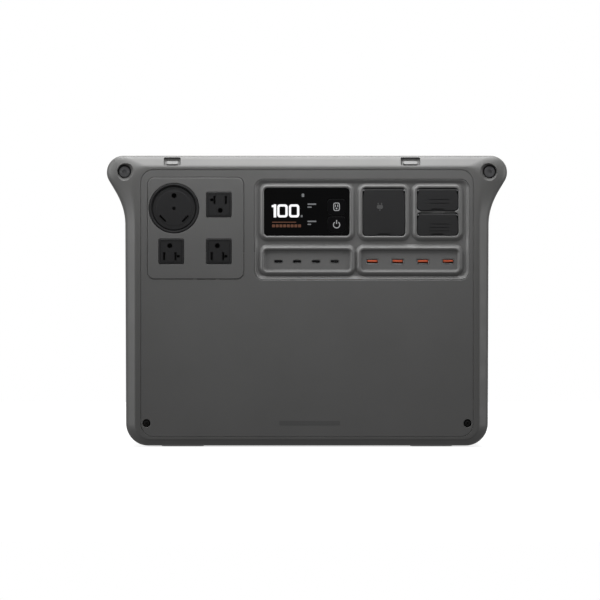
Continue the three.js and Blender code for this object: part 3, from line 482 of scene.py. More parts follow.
MATERIALS = {
    "case": moulded("case_plastic", (0.062, 0.0617, 0.0605), 0.47),
    "panel": moulded("panel_plastic", (0.068, 0.0678, 0.0672), 0.5),
    "bezel": moulded("bezel_plastic", (0.094, 0.0937, 0.093), 0.36),
    "socket": moulded("socket_plastic", (0.0085, 0.0085, 0.009), 0.5, 1800.0, specular=0.25),
    "cover": moulded("cover_rubber", (0.0095, 0.0095, 0.01), 0.62, 900.0, 0.00008, specular=0.25),
    "foot_rubber": moulded("foot_rubber", (0.012, 0.012, 0.012), 0.8, 700.0, 0.0001),
    "display_glass": gloss("display_glass", (0.0004, 0.0004, 0.0005), 0.08),
    "key": gloss("key_plastic", (0.0008, 0.0008, 0.001), 0.2),
    "orange_tongue": moulded("orange_tongue", (0.62, 0.10, 0.035), 0.4, 2000.0),
    "bright_steel": brushed("bright_steel", (0.40, 0.40, 0.41), 0.36),
    "dark_steel": brushed("dark_steel", (0.17, 0.17, 0.175), 0.42),
    "sheet_metal": brushed("sheet_metal", (0.62, 0.63, 0.64), 0.42),
    "cell_case": moulded("cell_case", (0.05, 0.14, 0.30), 0.35),
    "copper": brushed("copper_winding", (0.72, 0.36, 0.18), 0.4),
    "circuit_board": board("circuit_board"),
    "fan_plastic": moulded("fan_plastic", (0.012, 0.012, 0.013), 0.45),
    "cable": moulded("cable_rubber", (0.30, 0.02, 0.02), 0.55),
}
WHITE_SIGN = lit("display_white", (0.85, 0.86, 0.88), 1.0)
GREY_SIGN = lit("display_grey", (0.13, 0.135, 0.14), 1.0)
ORANGE_SIGN = lit("display_orange", (0.082, 0.03, 0.014), 1.0)
KEY_SIGN = lit("key_symbol", (0.27, 0.275, 0.28), 1.0)
PRINT_GREY = moulded("printed_grey", (0.045, 0.045, 0.045), 0.5)
PRINT_DARK = moulded("printed_dark", (0.05, 0.05, 0.05), 0.5)
SCREW_BLACK = moulded("screw_black", (0.004, 0.004, 0.004), 0.6, 3000.0, specular=0.15)
CATCH_METAL = moulded("catch_metal", (0.115, 0.115, 0.115), 0.6, metallic=0.0)


# ------------------------------------------------------------------ camera, light and floor

def set_stage():
    scene = bpy.context.scene
    scene.view_settings.view_transform = "Standard"
    camera = bpy.data.objects.new("camera", bpy.data.cameras.new("camera"))
    scene.collection.objects.link(camera)
    distance = 4.2
    shown = 0.669  # width of the view at the front of the case, in metres as all of the stage is
    camera.data.sensor_width = 36.0
    camera.data.lens = 36.0 * (distance - FRAME_FACE * MM) / shown
    camera.location = (-0.0078, -distance, 0.1645)
    camera.rotation_euler = (math.radians(90), 0, 0)
    camera.data.clip_start, camera.data.clip_end = 0.05, 60.0
    scene.camera = camera

    floor_mesh = bpy.data.meshes.new("floor")
    bm = bmesh.new()
    bmesh.ops.create_grid(bm, x_segments=8, y_segments=8, size=1.7)
    bm.to_mesh(floor_mesh)
    bm.free()
    floor = bpy.data.objects.new("floor", floor_mesh)
    scene.collection.objects.link(floor)
    floor.location.z = CAD_BOX[0][2] - 0.0002
    floor.visible_diffuse = False
    floor.visible_glossy = False
    mat, tree, shader = material("floor_paper")
    paper = ramp(tree, noise(tree, 3.0), (0.46, 0.46, 0.46), (0.5, 0.5, 0.5))
    tree.links.new(paper, shader.inputs["Base Color"])
    shader.inputs["Roughness"].default_value = 0.9
    shader.inputs["Emission Color"].default_value = (1, 1, 1, 1)
    shader.inputs["Emission Strength"].default_value = 0.78
    floor.data.materials.append(mat)

    world = bpy.data.worlds.new("studio")
    scene.world = world
    world.use_nodes = True
    tree = world.node_tree
    fill = tree.nodes["Background"]
    fill.inputs["Color"].default_value = (1, 1, 1, 1)
    fill.inputs["Strength"].default_value = 0.34
    backdrop = node(tree, "ShaderNodeBackground")
    backdrop.inputs["Color"].default_value = (1, 1, 1, 1)
    backdrop.inputs["Strength"].default_value = 1.0
    path = node(tree, "ShaderNodeLightPath")
    choose = node(tree, "ShaderNodeMixShader")
    tree.links.new(path.outputs["Is Camera Ray"], choose.inputs[0])
    tree.links.new(fill.outputs[0], choose.inputs[1])
    tree.links.new(backdrop.outputs[0], choose.inputs[2])
    tree.links.new(choose.outputs[0], tree.nodes["World Output"].inputs["Surface"])

    def softbox(name, place, target, wide, high, power):
        lamp = bpy.data.lights.new(name, "AREA")
        lamp.shape = "RECTANGLE"
        lamp.size, lamp.size_y = wide, high
        lamp.energy = power
        obj = bpy.data.objects.new(name, lamp)
        obj.location = place
        obj.rotation_mode = "QUATERNION"
        obj.rotation_quaternion = (Vector(target) - Vector(place)).to_track_quat("-Z", "Y")
        scene.collection.objects.link(obj)

    softbox("top_softbox", (0, -0.16, 0.525), (0, -0.14, 0), 0.66, 0.42, 5.3)
    softbox("left_softbox", (-2.0, -0.6, 0.7), (0, 0, 0.15), 1.2, 1.4, 25)
    softbox("right_softbox", (2.2, -0.4, 0.3), (0, 0, 0.15), 1.2, 1.4, 16)
    softbox("rear_softbox", (0.4, 2.4, 0.5), (0, 0, 0.15), 1.6, 1.2, 15)


set_stage()


# ------------------------------------------------------------------ case

BOLT_X, BOLT_Z = 204.0, 308.0
CATCH_Z = 318.4


def catch_place(node_name):
    """Mapping onto the upper chamfer at the middle of a catch, and half of the catch's width."""
    low, high = size_of(node_name)
    tilt = math.atan2(FRAME_FACE - FRAME_SHOULDER, TOP - EDGE_TOP)
    depth = FRAME_FACE - (CATCH_Z - EDGE_TOP) * math.tan(tilt)
    anchor = Vector(((low[0] + high[0]) / 2, -depth, CATCH_Z)) * MM
    turn = Matrix.Translation(anchor) @ Matrix.Rotation(-tilt, 4, "X")
    return lambda u, v, w: turn @ front(u, v, w), (high[0] - low[0]) / 2


def frame_shell(name, place, catches, node_name):
    """End frame as one closed skin: land, long chamfer with rounded shoulders, outer wall and inner edge."""
    outer = silhouette()
    land = ring_outline(EDGE_HALF, EDGE_BOTTOM, EDGE_TOP, EDGE_LOW_RADIUS, EDGE_RADIUS)
    hole = ring_outline(185.65, 11.85, 310.15, PANEL_R + GAP / 2, PANEL_R + GAP / 2)
    slope = (FRAME_FACE - FRAME_SHOULDER) * 0.95
    blend = 0.26
    sections = [(hollow_outline(), FRAME_INNER), (hole, PANEL_SEAT), (hole, FRAME_FACE - 0.25)]
    sections += [(between(hole, land, 0.03), FRAME_FACE - 0.06), (between(hole, land, 0.07), FRAME_FACE)]
    sections.append((between(hole, land, 0.8), FRAME_FACE))
    for t in (0.03, 0.08, 0.13, 0.19, blend):
        sections.append((between(land, outer, t), FRAME_FACE - slope * t * t / (2 * blend)))
    for t in (0.35, 0.5, 0.65, 0.76):
        sections.append((between(land, outer, t), FRAME_FACE - slope * (t - blend / 2)))
    start = FRAME_FACE - slope * (0.76 - blend / 2)
    for t, drop in ((0.86, 1.7), (0.93, 3.4), (0.975, 5.6), (0.995, 8.2), (1.0, 10.5)):
        sections.append((between(land, outer, t), start - drop))
    rim = freeform(outer)
    sections += [(outer, FRAME_INNER + 0.6), (rim(-0.25), FRAME_INNER + 0.15), (rim(-0.7), FRAME_INNER)]
    bm = bmesh.new()
    rings = [ring(bm, place, points, w) for points, w in sections]
    for a, b in zip(rings, rings[1:] + rings[:1]):
        strip(bm, a, b)
    shell = finish_mesh(name, bm, 40.0)
    profile = [(0, 130), (10.6, 130), (10.6, 108), (8.9, 106.2), (8.0, 105.2), (7.4, 103.8)]
    profile += [(7.3, 97), (7.0, 96.3), (0, 96.3)]
    cutters = [turned_piece("recess", place, side * BOLT_X, BOLT_Z, profile, 48) for side in (-1, 1)]
    for catch in catches:
        on_chamfer, half = catch_place(catch)
        half += 3.0
        outline = rounded((-half, half, -6.2, 6.2), 1.9)
        cutters.append(plate("slot", on_chamfer, [(outline, 0.0)], 9, -2.4, 1.5))
    cut(shell, cutters)
    return made(shell, "case", [node_name])


frame_shell("front_frame_shell", front, ("catch_plate_left", "catch_plate_right"), "front_frame")
frame_shell("rear_frame_shell", rear, (), "rear_frame")


CLUSTER = (-58.5, 181.0, 187.0, 299.0)
CLUSTER_R = 10.0
AC_RECT = front_rect("ac_socket_plate")
AC_R = 7.7
PANEL_RECT = (-185.5, 185.5, 12.0, 310.0)
PANEL_FACE, PANEL_BACK = 111.7, 106.3
SCREW_X, SCREW_Z, SCREW_SINK = 179.0, 27.0, 4.5
FIELD_RECT = (-160.0, 160.0, 60.0, 292.0)


def grown(rect, by):
    return rect[0] - by, rect[1] + by, rect[2] - by, rect[3] + by


def end_panel(name, place, holes):
    loops = [(rounded(PANEL_RECT, PANEL_R, 14), 0.5)] + holes
    loops += [(circle(x, SCREW_Z, SCREW_SINK, 32), 0.6) for x in (-SCREW_X, SCREW_X)]
    return plate(name, place, loops, PANEL_FACE, PANEL_BACK)


def front_and_rear_panels():
    ac_hole = rounded(grown(AC_RECT, GAP), AC_R + GAP, 10)
    skin = end_panel("front_panel_skin", front, [(ac_hole, 0.6), (rounded(CLUSTER, CLUSTER_R, 12), 0.9)])
    made(skin, "panel", ["front_panel"])
    skin = end_panel("rear_panel_skin", rear, [])
    field = plate("field", rear, [(rounded(FIELD_RECT, 12.0, 12), 0.8)], 112.5, PANEL_FACE - 1)
    cut(skin, [field], "UNION")
    made(skin, "panel", ["rear_panel"])
    outline = rounded((-31.0, 37.0, 24.6, 29.8), 1.6, 6)
    bar = plate("front_bar_print", front, [(outline, 0.04)], PANEL_FACE + 0.06, PANEL_FACE - 0.05)
    made(bar, "panel", finish=PRINT_DARK)


front_and_rear_panels()


def top_and_bottom():
    """Cover with its raised field, tray with both turned-up corners, and the four feet."""
    low, high = size_of("top_cover")
    half, deep = high[0], high[1]
    lid = plate("top_cover_skin", above, [(rounded((-half, half, -deep, deep), 1.0, 3), 0.8)], 324.6, 322.3)
    field = plate("field", above, [(pad(0, 0, 165, deep - 4, 10.0, 10), 0.7)], high[2], 323.6)
    grooves = []
    for side in (-1, 1):
        outline = pad(side * 82, 0, 70, 58, 8.0, 10)
        inner = pad(side * 82, 0, 68.2, 56.2, 6.4, 10)
        grooves.append(plate("groove", above, [(outline, 0.0), (inner, 0.0)], high[2] + 1, high[2] - 0.5))
    cut(lid, [field], "UNION")
    cut(lid, grooves)
    stiffeners = bmesh.new()
    for x in (-110, 0, 110):
        add_plate(stiffeners, above, [(pad(x, 0, 1.5, 77, 0.5, 2), 0.0)], 322.6, low[2])
    cut(lid, [finish_mesh("stiffeners", stiffeners)], "UNION")
    made(lid, "panel", ["top_cover"])

    low, high = size_of("bottom_tray")
    half, deep, bottom, top = high[0], high[1], low[2], high[2]
    outside = arc(half - 24, bottom + 24, 24, -90, 0, 16) + [(half, top)]
    inside = arc(half - WALL - 20.5, bottom + WALL + 20.5, 20.5, -90, 0, 16) + [(half - WALL, top)]
    ring_points = outside + list(reversed(inside))
    left_half = [(-x, z) for x, z in reversed(ring_points)]
    tray = plate("bottom_tray_skin", front, [(lambda grow=0.0: ring_points + left_half, 0.0)], deep, -deep)
    ribs = bmesh.new()
    for x in (-120, -40, 40, 120):
        add_plate(ribs, above, [(pad(x, 0, 1.5, deep - 2, 0.6, 3), 0.4)], 7.4, bottom + 1.5)
    cut(tray, [finish_mesh("ribs", ribs)], "UNION")
    made(tray, "case", ["bottom_tray"])

    for end in ("front", "rear"):
        for side in ("left", "right"):
            name = f"foot_{end}_{side}"
            low, high = size_of(name)
            rect = (low[0], high[0], -high[1], -low[1])
            rubber = plate(name + "_pad", below, [(rounded(rect, 6.0, 8), 0.9)], -low[2], -high[2])
            treads = bmesh.new()
            middle = (rect[2] + rect[3]) / 2
            for step in range(-3, 4):
                x = (low[0] + high[0]) / 2 + step * 6.0
                add_plate(treads, below, [(pad(x, middle, 0.9, 7, 0.85, 4), 0.0)], 1, -0.7)
            cut(rubber, [finish_mesh("treads", treads)])
            made(rubber, "foot_rubber", [name])


top_and_bottom()


def side_panels():
    """Side walls: flat below with vent slots, stepped in above for the finger pocket."""
    for name, sign in (("side_panel_left", -1), ("side_panel_right", 1)):
        low, high = size_of(name)
        outer, step_face = 200.5, POCKET_X + WALL
        rise = math.degrees(math.atan2(POCKET_HIGH - POCKET_LOW, outer - step_face))
        face = arc(outer - 9, POCKET_LOW - 5.0, 9, 0, rise + 2, 6)
        bend = arc(step_face + 9, POCKET_HIGH + 10.0, 9, 180 + rise + 8, 180, 6)
        outline = [(outer, low[2])] + face + bend + [(step_face, high[2]), (POCKET_X + GAP, high[2])]
        outline += [(POCKET_X + GAP, POCKET_HIGH), (outer - WALL, POCKET_LOW), (outer - WALL, low[2])]
        shape = [(sign * x, z) for x, z in outline]
        if sign < 0:
            shape.reverse()
        wall = plate(name + "_skin", front, [(lambda grow=0.0, shape=shape: shape, 0.0)], high[1], low[1])
        fan_low, fan_high = size_of("fan_frame_left" if sign < 0 else "fan_frame_right")
        y, z = (fan_low[1] + fan_high[1]) / 2, (fan_low[2] + fan_high[2]) / 2
        half = (fan_high[1] - fan_low[1]) / 2
        slots = bmesh.new()
        place = left if sign < 0 else right
        for step in range(-5, 6):
            rise_by = step * 8.0
            reach = math.sqrt((half + 2) ** 2 - rise_by ** 2) + 6
            middle = -y if sign < 0 else y
            rect = (middle - reach, middle + reach, z + rise_by - 1.8, z + rise_by + 1.8)
            add_plate(slots, place, [(rounded(rect, 1.75, 6), 0.0)], 204, 192)
        cut(wall, [finish_mesh("slots", slots)])
        lips = wall.modifiers.new("lips", "BEVEL")
        lips.width, lips.segments = 0.45 * MM, 2
        lips.limit_method, lips.angle_limit = "ANGLE", math.radians(50)
        bake_modifiers(wall)
        smooth(wall)
        made(wall, "case", [name])


side_panels()


GRIP_R, GRIP_INNER_X, GRIP_CORNER, GRIP_STEPS = 17.5, 199.5, 5.5, 60
WAIST_HALF, WAIST_DEEP = 70, 1.1


def handles():
    """Carrying bars with a slightly waisted grip."""
    for side, sign in (("left", -1), ("right", 1)):
        node_name = f"handle_bar_{side}"
        reach = size_of(node_name)[1][1]
        nose = arc(EAR[0], EAR[1], GRIP_R, -62, 90, 22)
        x, bottom, top = GRIP_INNER_X + GRIP_CORNER, nose[0][1], EAR[1] + GRIP_R
        base = nose[:-1] + arc(x, top - GRIP_CORNER, GRIP_CORNER, 90, 180, 8)
        shape = freeform(base + arc(x, bottom + GRIP_CORNER, GRIP_CORNER, 180, 270, 8))
        bm = bmesh.new()
        rings = []
        for k in range(GRIP_STEPS + 1):
            w = -reach + 2 * reach * k / GRIP_STEPS
            waist = max(0.0, math.cos(math.pi * w / (2 * WAIST_HALF))) ** 2 if abs(w) < WAIST_HALF else 0.0
            grow = -WAIST_DEEP * waist
            if abs(w) > reach - 0.1:
                grow -= 0.5
            rings.append([bm.verts.new(Vector((sign * u, w, v)) * MM) for u, v in shape(grow)])
        for a, b in zip(rings, rings[1:]):
            strip(bm, a, b)
        cap(bm, [rings[0]])
        cap(bm, [rings[-1]])
        made(finish_mesh(node_name + "_grip", bm), "case", [node_name])


def stud(node_name, end):
    """Where a bolt or screw stands: u, v, radius of its CAD head, and the depths of its head and tail."""
    low, high = size_of(node_name)
    x, z = (low[0] + high[0]) / 2, (low[2] + high[2]) / 2
    face, tail = max(-low[1], high[1]), min(abs(low[1]), abs(high[1]))
    return x if end == "front" else -x, z, (high[0] - low[0]) / 2, face, tail


def bolts_and_screws():
    """Handle bolts with a hexagon socket, and panel screws with a cross."""
    for end, place in (("front", front), ("rear", rear)):
        for side in ("left", "right"):
            node_name = f"handle_bolt_{end}_{side}"
            u, z, r, face, tail = stud(node_name, end)
            r += 0.5
            profile = [(0, face), (r - 2, face), (r - 0.8, face - 0.3), (r - 0.15, face - 1), (r, face - 2)]
            profile += [(r, face - 5), (4, face - 5), (4, tail + 1), (3.4, tail), (0, tail)]
            bolt = turned_piece(node_name + "_head", place, u, z, profile, 36)
            cut(bolt, [plate("hex", place, [(circle(u, z, 3.0, 6), 0.0)], face + 1, face - 3)])
            made(bolt, "dark_steel", [node_name])

            node_name = f"panel_screw_{end}_{side}"
            u, _, _, face, tail = stud(node_name, end)
            profile = [(0, face), (2.4, face - 0.05), (3.3, face - 0.4), (3.8, face - 1.1), (3.9, face - 2.2)]
            profile += [(2, face - 2.2), (2, tail + 0.8), (1.2, tail), (0, tail)]
            screw = turned_piece(node_name + "_head", place, u, SCREW_Z, profile, 32)
            for turn in (45, 135):
                outline = slot_outline(u, SCREW_Z, 4.0, 0.8, turn, 0.2, 2)
                cut(screw, [plate("cross", place, [(outline, 0.0)], face + 1, face - 1.1)])
            made(screw, "dark_steel", [node_name], finish=SCREW_BLACK)


handles()
bolts_and_screws()


def catches():
    """Metal plates on the floors of the catch slots in the upper chamfer."""
    for node_name in ("catch_plate_left", "catch_plate_right"):
        on_chamfer, half = catch_place(node_name)
        outline = rounded((-half, half, -2.4, 2.4), 1.5, 8)
        bar = plate(node_name + "_bar", on_chamfer, [(outline, 0.5)], -0.7, -2.3)
        made(bar, "bright_steel", [node_name], finish=CATCH_METAL)


catches()


# ------------------------------------------------------------------ mains sockets

SOCKET_FACE = 112.5
SLOT_DEPTH = 14.0


def socket_cut(bm, place_at, outline, deep=SLOT_DEPTH, mouth=0.5):
    """Slot with a stepped lead-in."""
    add_plate(bm, place_at, [(outline(0.0), 0.0)], SOCKET_FACE + 1, SOCKET_FACE - deep)
    add_plate(bm, place_at, [(outline(mouth), 0.0)], SOCKET_FACE + 1.5, SOCKET_FACE - 0.5)


def contact(bm, place_at, x, z, wide, high, turn):
    """Sprung metal contact inside a slot, as two strips along its long sides."""
    c, s = math.cos(math.radians(turn)), math.sin(math.radians(turn))
    for side in (-1, 1):
        shift = side * (wide / 2 - 0.28)
        outline = slot_outline(x + c * shift, z + s * shift, 0.3, high - 0.8, turn, 0.1, 2)
        add_plate(bm, place_at, [(outline, 0.0)], SOCKET_FACE - 9.5, SOCKET_FACE - SLOT_DEPTH + 0.4)


def grown_slot(x, z, wide, high, turn=0.0):
    return lambda by: slot_outline(x, z, wide + 2 * by, high + 2 * by, turn, 0.4 + by, 3)


def grown_circle(x, z, r):
    return lambda by: circle(x, z, r + by, 28)


def socket_middle(name):
    """Middle of a socket's face, and half of its width."""
    x0, x1, z0, z1 = front_rect(name)
    return (x0 + x1) / 2, (z0 + z1) / 2, (x1 - x0) / 2


def socket_plate():
    sockets = ["square_socket_upper", "square_socket_lower_left", "square_socket_lower_right"]
    loops = [(rounded(AC_RECT, AC_R, 12), 0.8)]
    loops += [(rounded(front_rect(name, GAP), 2.0, 5), 0.4) for name in sockets]
    cx, cz, r = socket_middle("round_socket")
    loops.append((circle(cx, cz, r + GAP, 72), 0.6))
    made(plate("ac_socket_plate_skin", front, loops, 112.3, 107.0), "panel", ["ac_socket_plate"])


def round_socket():
    cx, cz, r = socket_middle("round_socket")
    face = SOCKET_FACE
    profile = [(0, face - 1.3), (19.0, face - 1.3), (19.5, face - 1.45), (20.0, face - 1.6)]
    profile += [(23.6, face - 1.6), (24.2, face - 2.6), (25.0, face - 2.6), (25.5, face - 0.5)]
    profile += [(26.0, face), (27.0, face)]
    profile += [(27.6, face - 0.25), (r, face - 0.9), (r, 106.6), (22.5, 106.6), (22.5, 80.0), (0, 80.0)]
    body = turned_piece("round_socket_body", front, cx, cz, profile, 96)
    cutters, metal = bmesh.new(), bmesh.new()
    socket_cut(cutters, front, grown_circle(cx, cz + 14.3, 2.8))
    socket_cut(cutters, front, grown_circle(cx, cz, 2.0), 5.0)
    for x, turn in ((-12.5, 45), (12.5, -45)):
        slot = (cx + x, cz - 11.4, 2.6, 9.5, turn)
        socket_cut(cutters, front, grown_slot(*slot))
        contact(metal, front, *slot)
    cut(body, [finish_mesh("hollow", cutters)])
    made(body, "socket", ["round_socket"])
    made(finish_mesh("round_socket_contacts", metal), "dark_steel", ["round_socket"])


def square_socket(name, turned):
    cx, cz, half = socket_middle(name)
    sign = -1 if turned else 1

    def place(u, v, w):
        return front(cx + sign * u, cz + sign * v, w)

    body = plate(name + "_body", place, [(pad(0, 0, half, half, 1.8, 6), 0.7)], SOCKET_FACE, 84.0)
    groove = [(pad(0, 0, 12.2, 12.2, 1.6, 5), 0.0), (pad(0, 0, 11.5, 11.5, 1.2, 5), 0.0)]
    cut(body, [plate("groove", place, groove, SOCKET_FACE + 1, SOCKET_FACE - 0.45)])
    holes = [grown_slot(-4.8, 5.4, 2.4, 8.6), grown_slot(-7.0, 5.4, 4.8, 2.6), grown_slot(7.9, 5.4, 2.4, 8.6)]
    holes.append(grown_circle(1.6, -6.4, 2.6))
    cutters = []
    for outline in holes:
        for name_of, grow, deep in (("slot", 0.0, SLOT_DEPTH), ("mouth", 0.45, 0.5)):
            loops = [(outline(grow), 0.0)]
            cutters.append(plate(name_of, place, loops, SOCKET_FACE + 1, SOCKET_FACE - deep))
    cut(body, cutters)
    made(body, "socket", [name])
    metal = bmesh.new()
    for x in (-4.8, 7.9):
        contact(metal, place, x, 5.4, 2.4, 8.6, 0.0)
    made(finish_mesh(name + "_contacts", metal), "dark_steel", [name])


socket_plate()
round_socket()
square_socket("square_socket_upper", False)
square_socket("square_socket_lower_left", True)
square_socket("square_socket_lower_right", True)


# ------------------------------------------------------------------ port cluster

BEZEL_FLOOR, BEZEL_RIM, BEZEL_BACK = 108.2, 111.6, 104.2
MARGIN = 6.0
WINDOW_R = 4.0
DISPLAY = (-48.0, 47.6, 236.0, 289.5)
CHARGE = (61.9, 109.7, 236.0, 289.5)
DC_UPPER = (122.5, 169.0, 263.8, 289.5)
DC_LOWER = (122.5, 169.0, 236.0, 262.0)
USB_C = (-48.0, 49.0, 197.0, 220.5)
USB_A = (60.0, 169.0, 197.0, 220.5)
USB_C_XS, USB_A_XS, USB_Z = (-32.0, -11.0, 10.0, 31.0), (73.0, 101.2, 129.4, 157.6), 207.5


# Section of a raised frame, as (growth of the outline, depth): its outer slope, and the lips of its windows
RIM, FLOOR_UNDER = BEZEL_RIM, BEZEL_FLOOR - 1
OUTER_SLOPE = [(0, FLOOR_UNDER), (0, BEZEL_FLOOR), (-0.4, BEZEL_FLOOR + 0.3), (-3.0, RIM - 0.5)]
OUTER_SLOPE += [(-3.5, RIM - 0.12), (-4.0, RIM)]
STEEP_LIP = [(1.3, RIM), (0.9, RIM - 0.08), (0.45, RIM - 0.3), (0.12, RIM - 0.7), (0, RIM - 1.3)]
STEEP_LIP += [(0, FLOOR_UNDER)]
THIN_LIP = [(0.8, RIM), (0.5, RIM - 0.07), (0.2, RIM - 0.28), (0, RIM - 0.8), (0, FLOOR_UNDER)]
SLOPED_LIP = [(1.3, RIM), (0.8, RIM - 0.1), (0.35, RIM - 0.45), (-0.8, BEZEL_FLOOR + 0.7)]
SLOPED_LIP += [(-1.2, BEZEL_FLOOR + 0.2), (-1.7, BEZEL_FLOOR + 0.03), (-1.8, FLOOR_UNDER)]


def raised_frame(rects, lip):
    """Frame that stands on the bezel's floor round one window, or round two with a bar between them."""
    whole = (rects[0][0], rects[0][1], rects[-1][2], rects[0][3])
    bm = bmesh.new()
    tops, feet = [], []
    sections = [(rounded(grown(whole, MARGIN), WINDOW_R + MARGIN, 12), OUTER_SLOPE)]
    sections += [(rounded(rect, WINDOW_R, 8), list(reversed(lip))) for rect in rects]
    for outline, section in sections:
        rings = [ring(bm, front, outline(grow), w) for grow, w in section]
        for a, b in zip(rings, rings[1:]):
            strip(bm, a, b)
        tops.append(rings[-1])
        feet.append(rings[0])
    cap(bm, tops)
    cap(bm, feet)
    return finish_mesh("frame", bm)


def bezel():
    """Sunken bezel: a border that sweeps down to its floor, and a rounded frame round each window."""
    outline = rounded(grown(CLUSTER, -GAP), CLUSTER_R - GAP, 12)
    windows = [rounded(w, WINDOW_R, 6) for w in (DISPLAY, CHARGE, DC_UPPER, DC_LOWER)]
    ports = [pad(x, USB_Z, 4.9, 1.95, 1.8, 5) for x in USB_C_XS]
    ports += [pad(x, USB_Z, 7.0, 3.3, 0.8, 3) for x in USB_A_XS]
    bm = bmesh.new()
    sweep = [(0.0, BEZEL_BACK), (0.0, 110.9), (-0.1, 111.15), (-0.35, 111.3), (-0.65, 111.2), (-0.95, 110.9)]
    sweep += [(-1.55, 110.15), (-2.4, 109.35), (-3.4, 108.75), (-4.6, 108.35), (-5.8, BEZEL_FLOOR)]
    rings = [ring(bm, front, outline(grow), w) for grow, w in sweep]
    for a, b in zip(rings, rings[1:]):
        strip(bm, a, b)
    tops, backs = [rings[-1]], [rings[0]]
    for hole in windows + ports:
        a, b = ring(bm, front, hole(0.0), BEZEL_FLOOR), ring(bm, front, hole(0.0), BEZEL_BACK)
        strip(bm, a, b)
        tops.append(a)
        backs.append(b)
    cap(bm, tops)
    cap(bm, backs)
    base = finish_mesh("port_bezel_skin", bm)
    kinds = (([DISPLAY], STEEP_LIP), ([CHARGE], STEEP_LIP), ([DC_UPPER, DC_LOWER], THIN_LIP))
    kinds += (([USB_C], SLOPED_LIP), ([USB_A], SLOPED_LIP))
    cut(base, [raised_frame(rects, lip) for rects, lip in kinds], "UNION")
    dip = plate("dip", front, [(rounded((126.5, 165.0, 261.0, 264.8), 1.0, 4), 0.0)], 113, 109.2)
    cut(base, [dip])
    made(base, "bezel", ["port_bezel"])


bezel()


COVER_FACE, COVER_BACK, COVER_NOTCH = 111.3, 107.7, 1.7
HINGE_DEPTH, HINGE_DROP, HINGE_R, BORE_R, PIN_R = 109.5, 0.8, 1.8, 1.1, 0.8


def hinge(rect):
    """Hinge axis of a cover, as y in front of the middle and z, with the radius of its round edge."""
    return HINGE_DEPTH, rect[3] - HINGE_DROP - HINGE_R, HINGE_R


def port_cover(name, rect, grooves):
    w_axis, z_axis, r = hinge(rect)
    x0, x1, z0 = rect[0] + 0.4, rect[1] - 0.4, rect[2] + 0.4
    notch = COVER_NOTCH
    points = arc(x1 - 4, z0 + 4, 4, -90, 0, 8)
    points += [(x1, z_axis - 5), (x1 - notch, z_axis - 3.3), (x1 - notch, z_axis), (x0 + notch, z_axis)]
    points += [(x0 + notch, z_axis - 3.3), (x0, z_axis - 5)] + arc(x0 + 4, z0 + 4, 4, 180, 270, 8)
    flap = plate(name + "_flap", front, [(freeform(points), 0.6)], COVER_FACE, COVER_BACK)
    ends = [(0, x0 + notch), (r - 0.3, x0 + notch), (r, x0 + notch + 0.3), (r, x1 - notch - 0.3)]
    ends += [(r - 0.3, x1 - notch), (0, x1 - notch)]
    cut(flap, [turned_piece("edge", right, -w_axis, z_axis, ends, 32)], "UNION")
    middle = (x0 + x1) / 2
    ends = [(0, x0 - 1), (BORE_R, x0 - 1), (BORE_R, x1 + 1), (0, x1 + 1)]
    bore = turned_piece("bore", right, -w_axis, z_axis, ends, 20)
    pull = rounded((middle - 7, middle + 7, z0 - 3, z0 + 2.4), 1.6, 6)
    cut(flap, [bore, plate("pull", front, [(pull, 0.0)], 113, 110.1)])
    if grooves:
        bm = bmesh.new()
        for z in grooves:
            groove = rounded((middle - 9, middle + 13, z - 0.35, z + 0.35), 0.34, 4)
            add_plate(bm, front, [(groove, 0.0)], 112, 110.6)
        cut(flap, [finish_mesh("grooves", bm)])
    made(flap, "cover", [name], name)
    start, end = rect[0] - 2.1, rect[1] + 2.1
    ends = [(0, start), (PIN_R - 0.2, start), (PIN_R, start + 0.2), (PIN_R, end - 0.2)]
    ends += [(PIN_R - 0.2, end), (0, end)]
    pin = turned_piece(name + "_pin_rod", right, -w_axis, z_axis, ends, 20)
    made(pin, "bright_steel", [name + "_pin"])


port_cover("charge_cover", CHARGE, ())
port_cover("dc_cover_upper", DC_UPPER, (272.4, 276.6))
port_cover("dc_cover_lower", DC_LOWER, (241.6, 245.4, 249.2))


def plug_symbol():
    """Raised plug symbol on the charging cover: a body, two prongs and a lead."""
    cx, cz, top, base = 81.3, 268.4, 111.45, 111.1
    bm = bmesh.new()
    shapes = [rounded((cx - 3.4, cx + 3.4, cz - 2.2, cz + 2.0), 1.6, 5)]
    shapes += [pad(cx + side * 1.9, cz + 3.4, 0.5, 1.0, 0.3, 3) for side in (-1, 1)]
    shapes.append(rounded((cx - 0.5, cx + 0.5, cz - 4.6, cz - 2.5), 0.3, 3))
    for outline in shapes:
        add_plate(bm, front, [(outline, 0.08)], top, base)
    made(finish_mesh("charge_cover_symbol", bm), "cover", (), "charge_cover", PRINT_GREY)


plug_symbol()

GLASS_FACE, GLASS_BACK = 110.4, 107.8
KEY_X, KEY_HALF, KEY_HIGH, KEY_R = 33.0, 10.0, 8.5, 4.0
KEYS = {"ac_key": 268.5, "power_key": 249.0}


def key_outline(z, grow):
    return pad(KEY_X, z, KEY_HALF + grow, KEY_HIGH + grow, KEY_R + grow, 8)


def glass_marks(name, parts, mat, body="case", slot="display_glass"):
    """Thin printed or lit marks on the glass, one piece for each colour."""
    bm = bmesh.new()
    for loops in parts:
        add_plate(bm, front, [(outline, 0.0) for outline in loops], GLASS_FACE + 0.03, GLASS_FACE + 0.005)
    made(finish_mesh(name, bm), slot, (), body, mat)


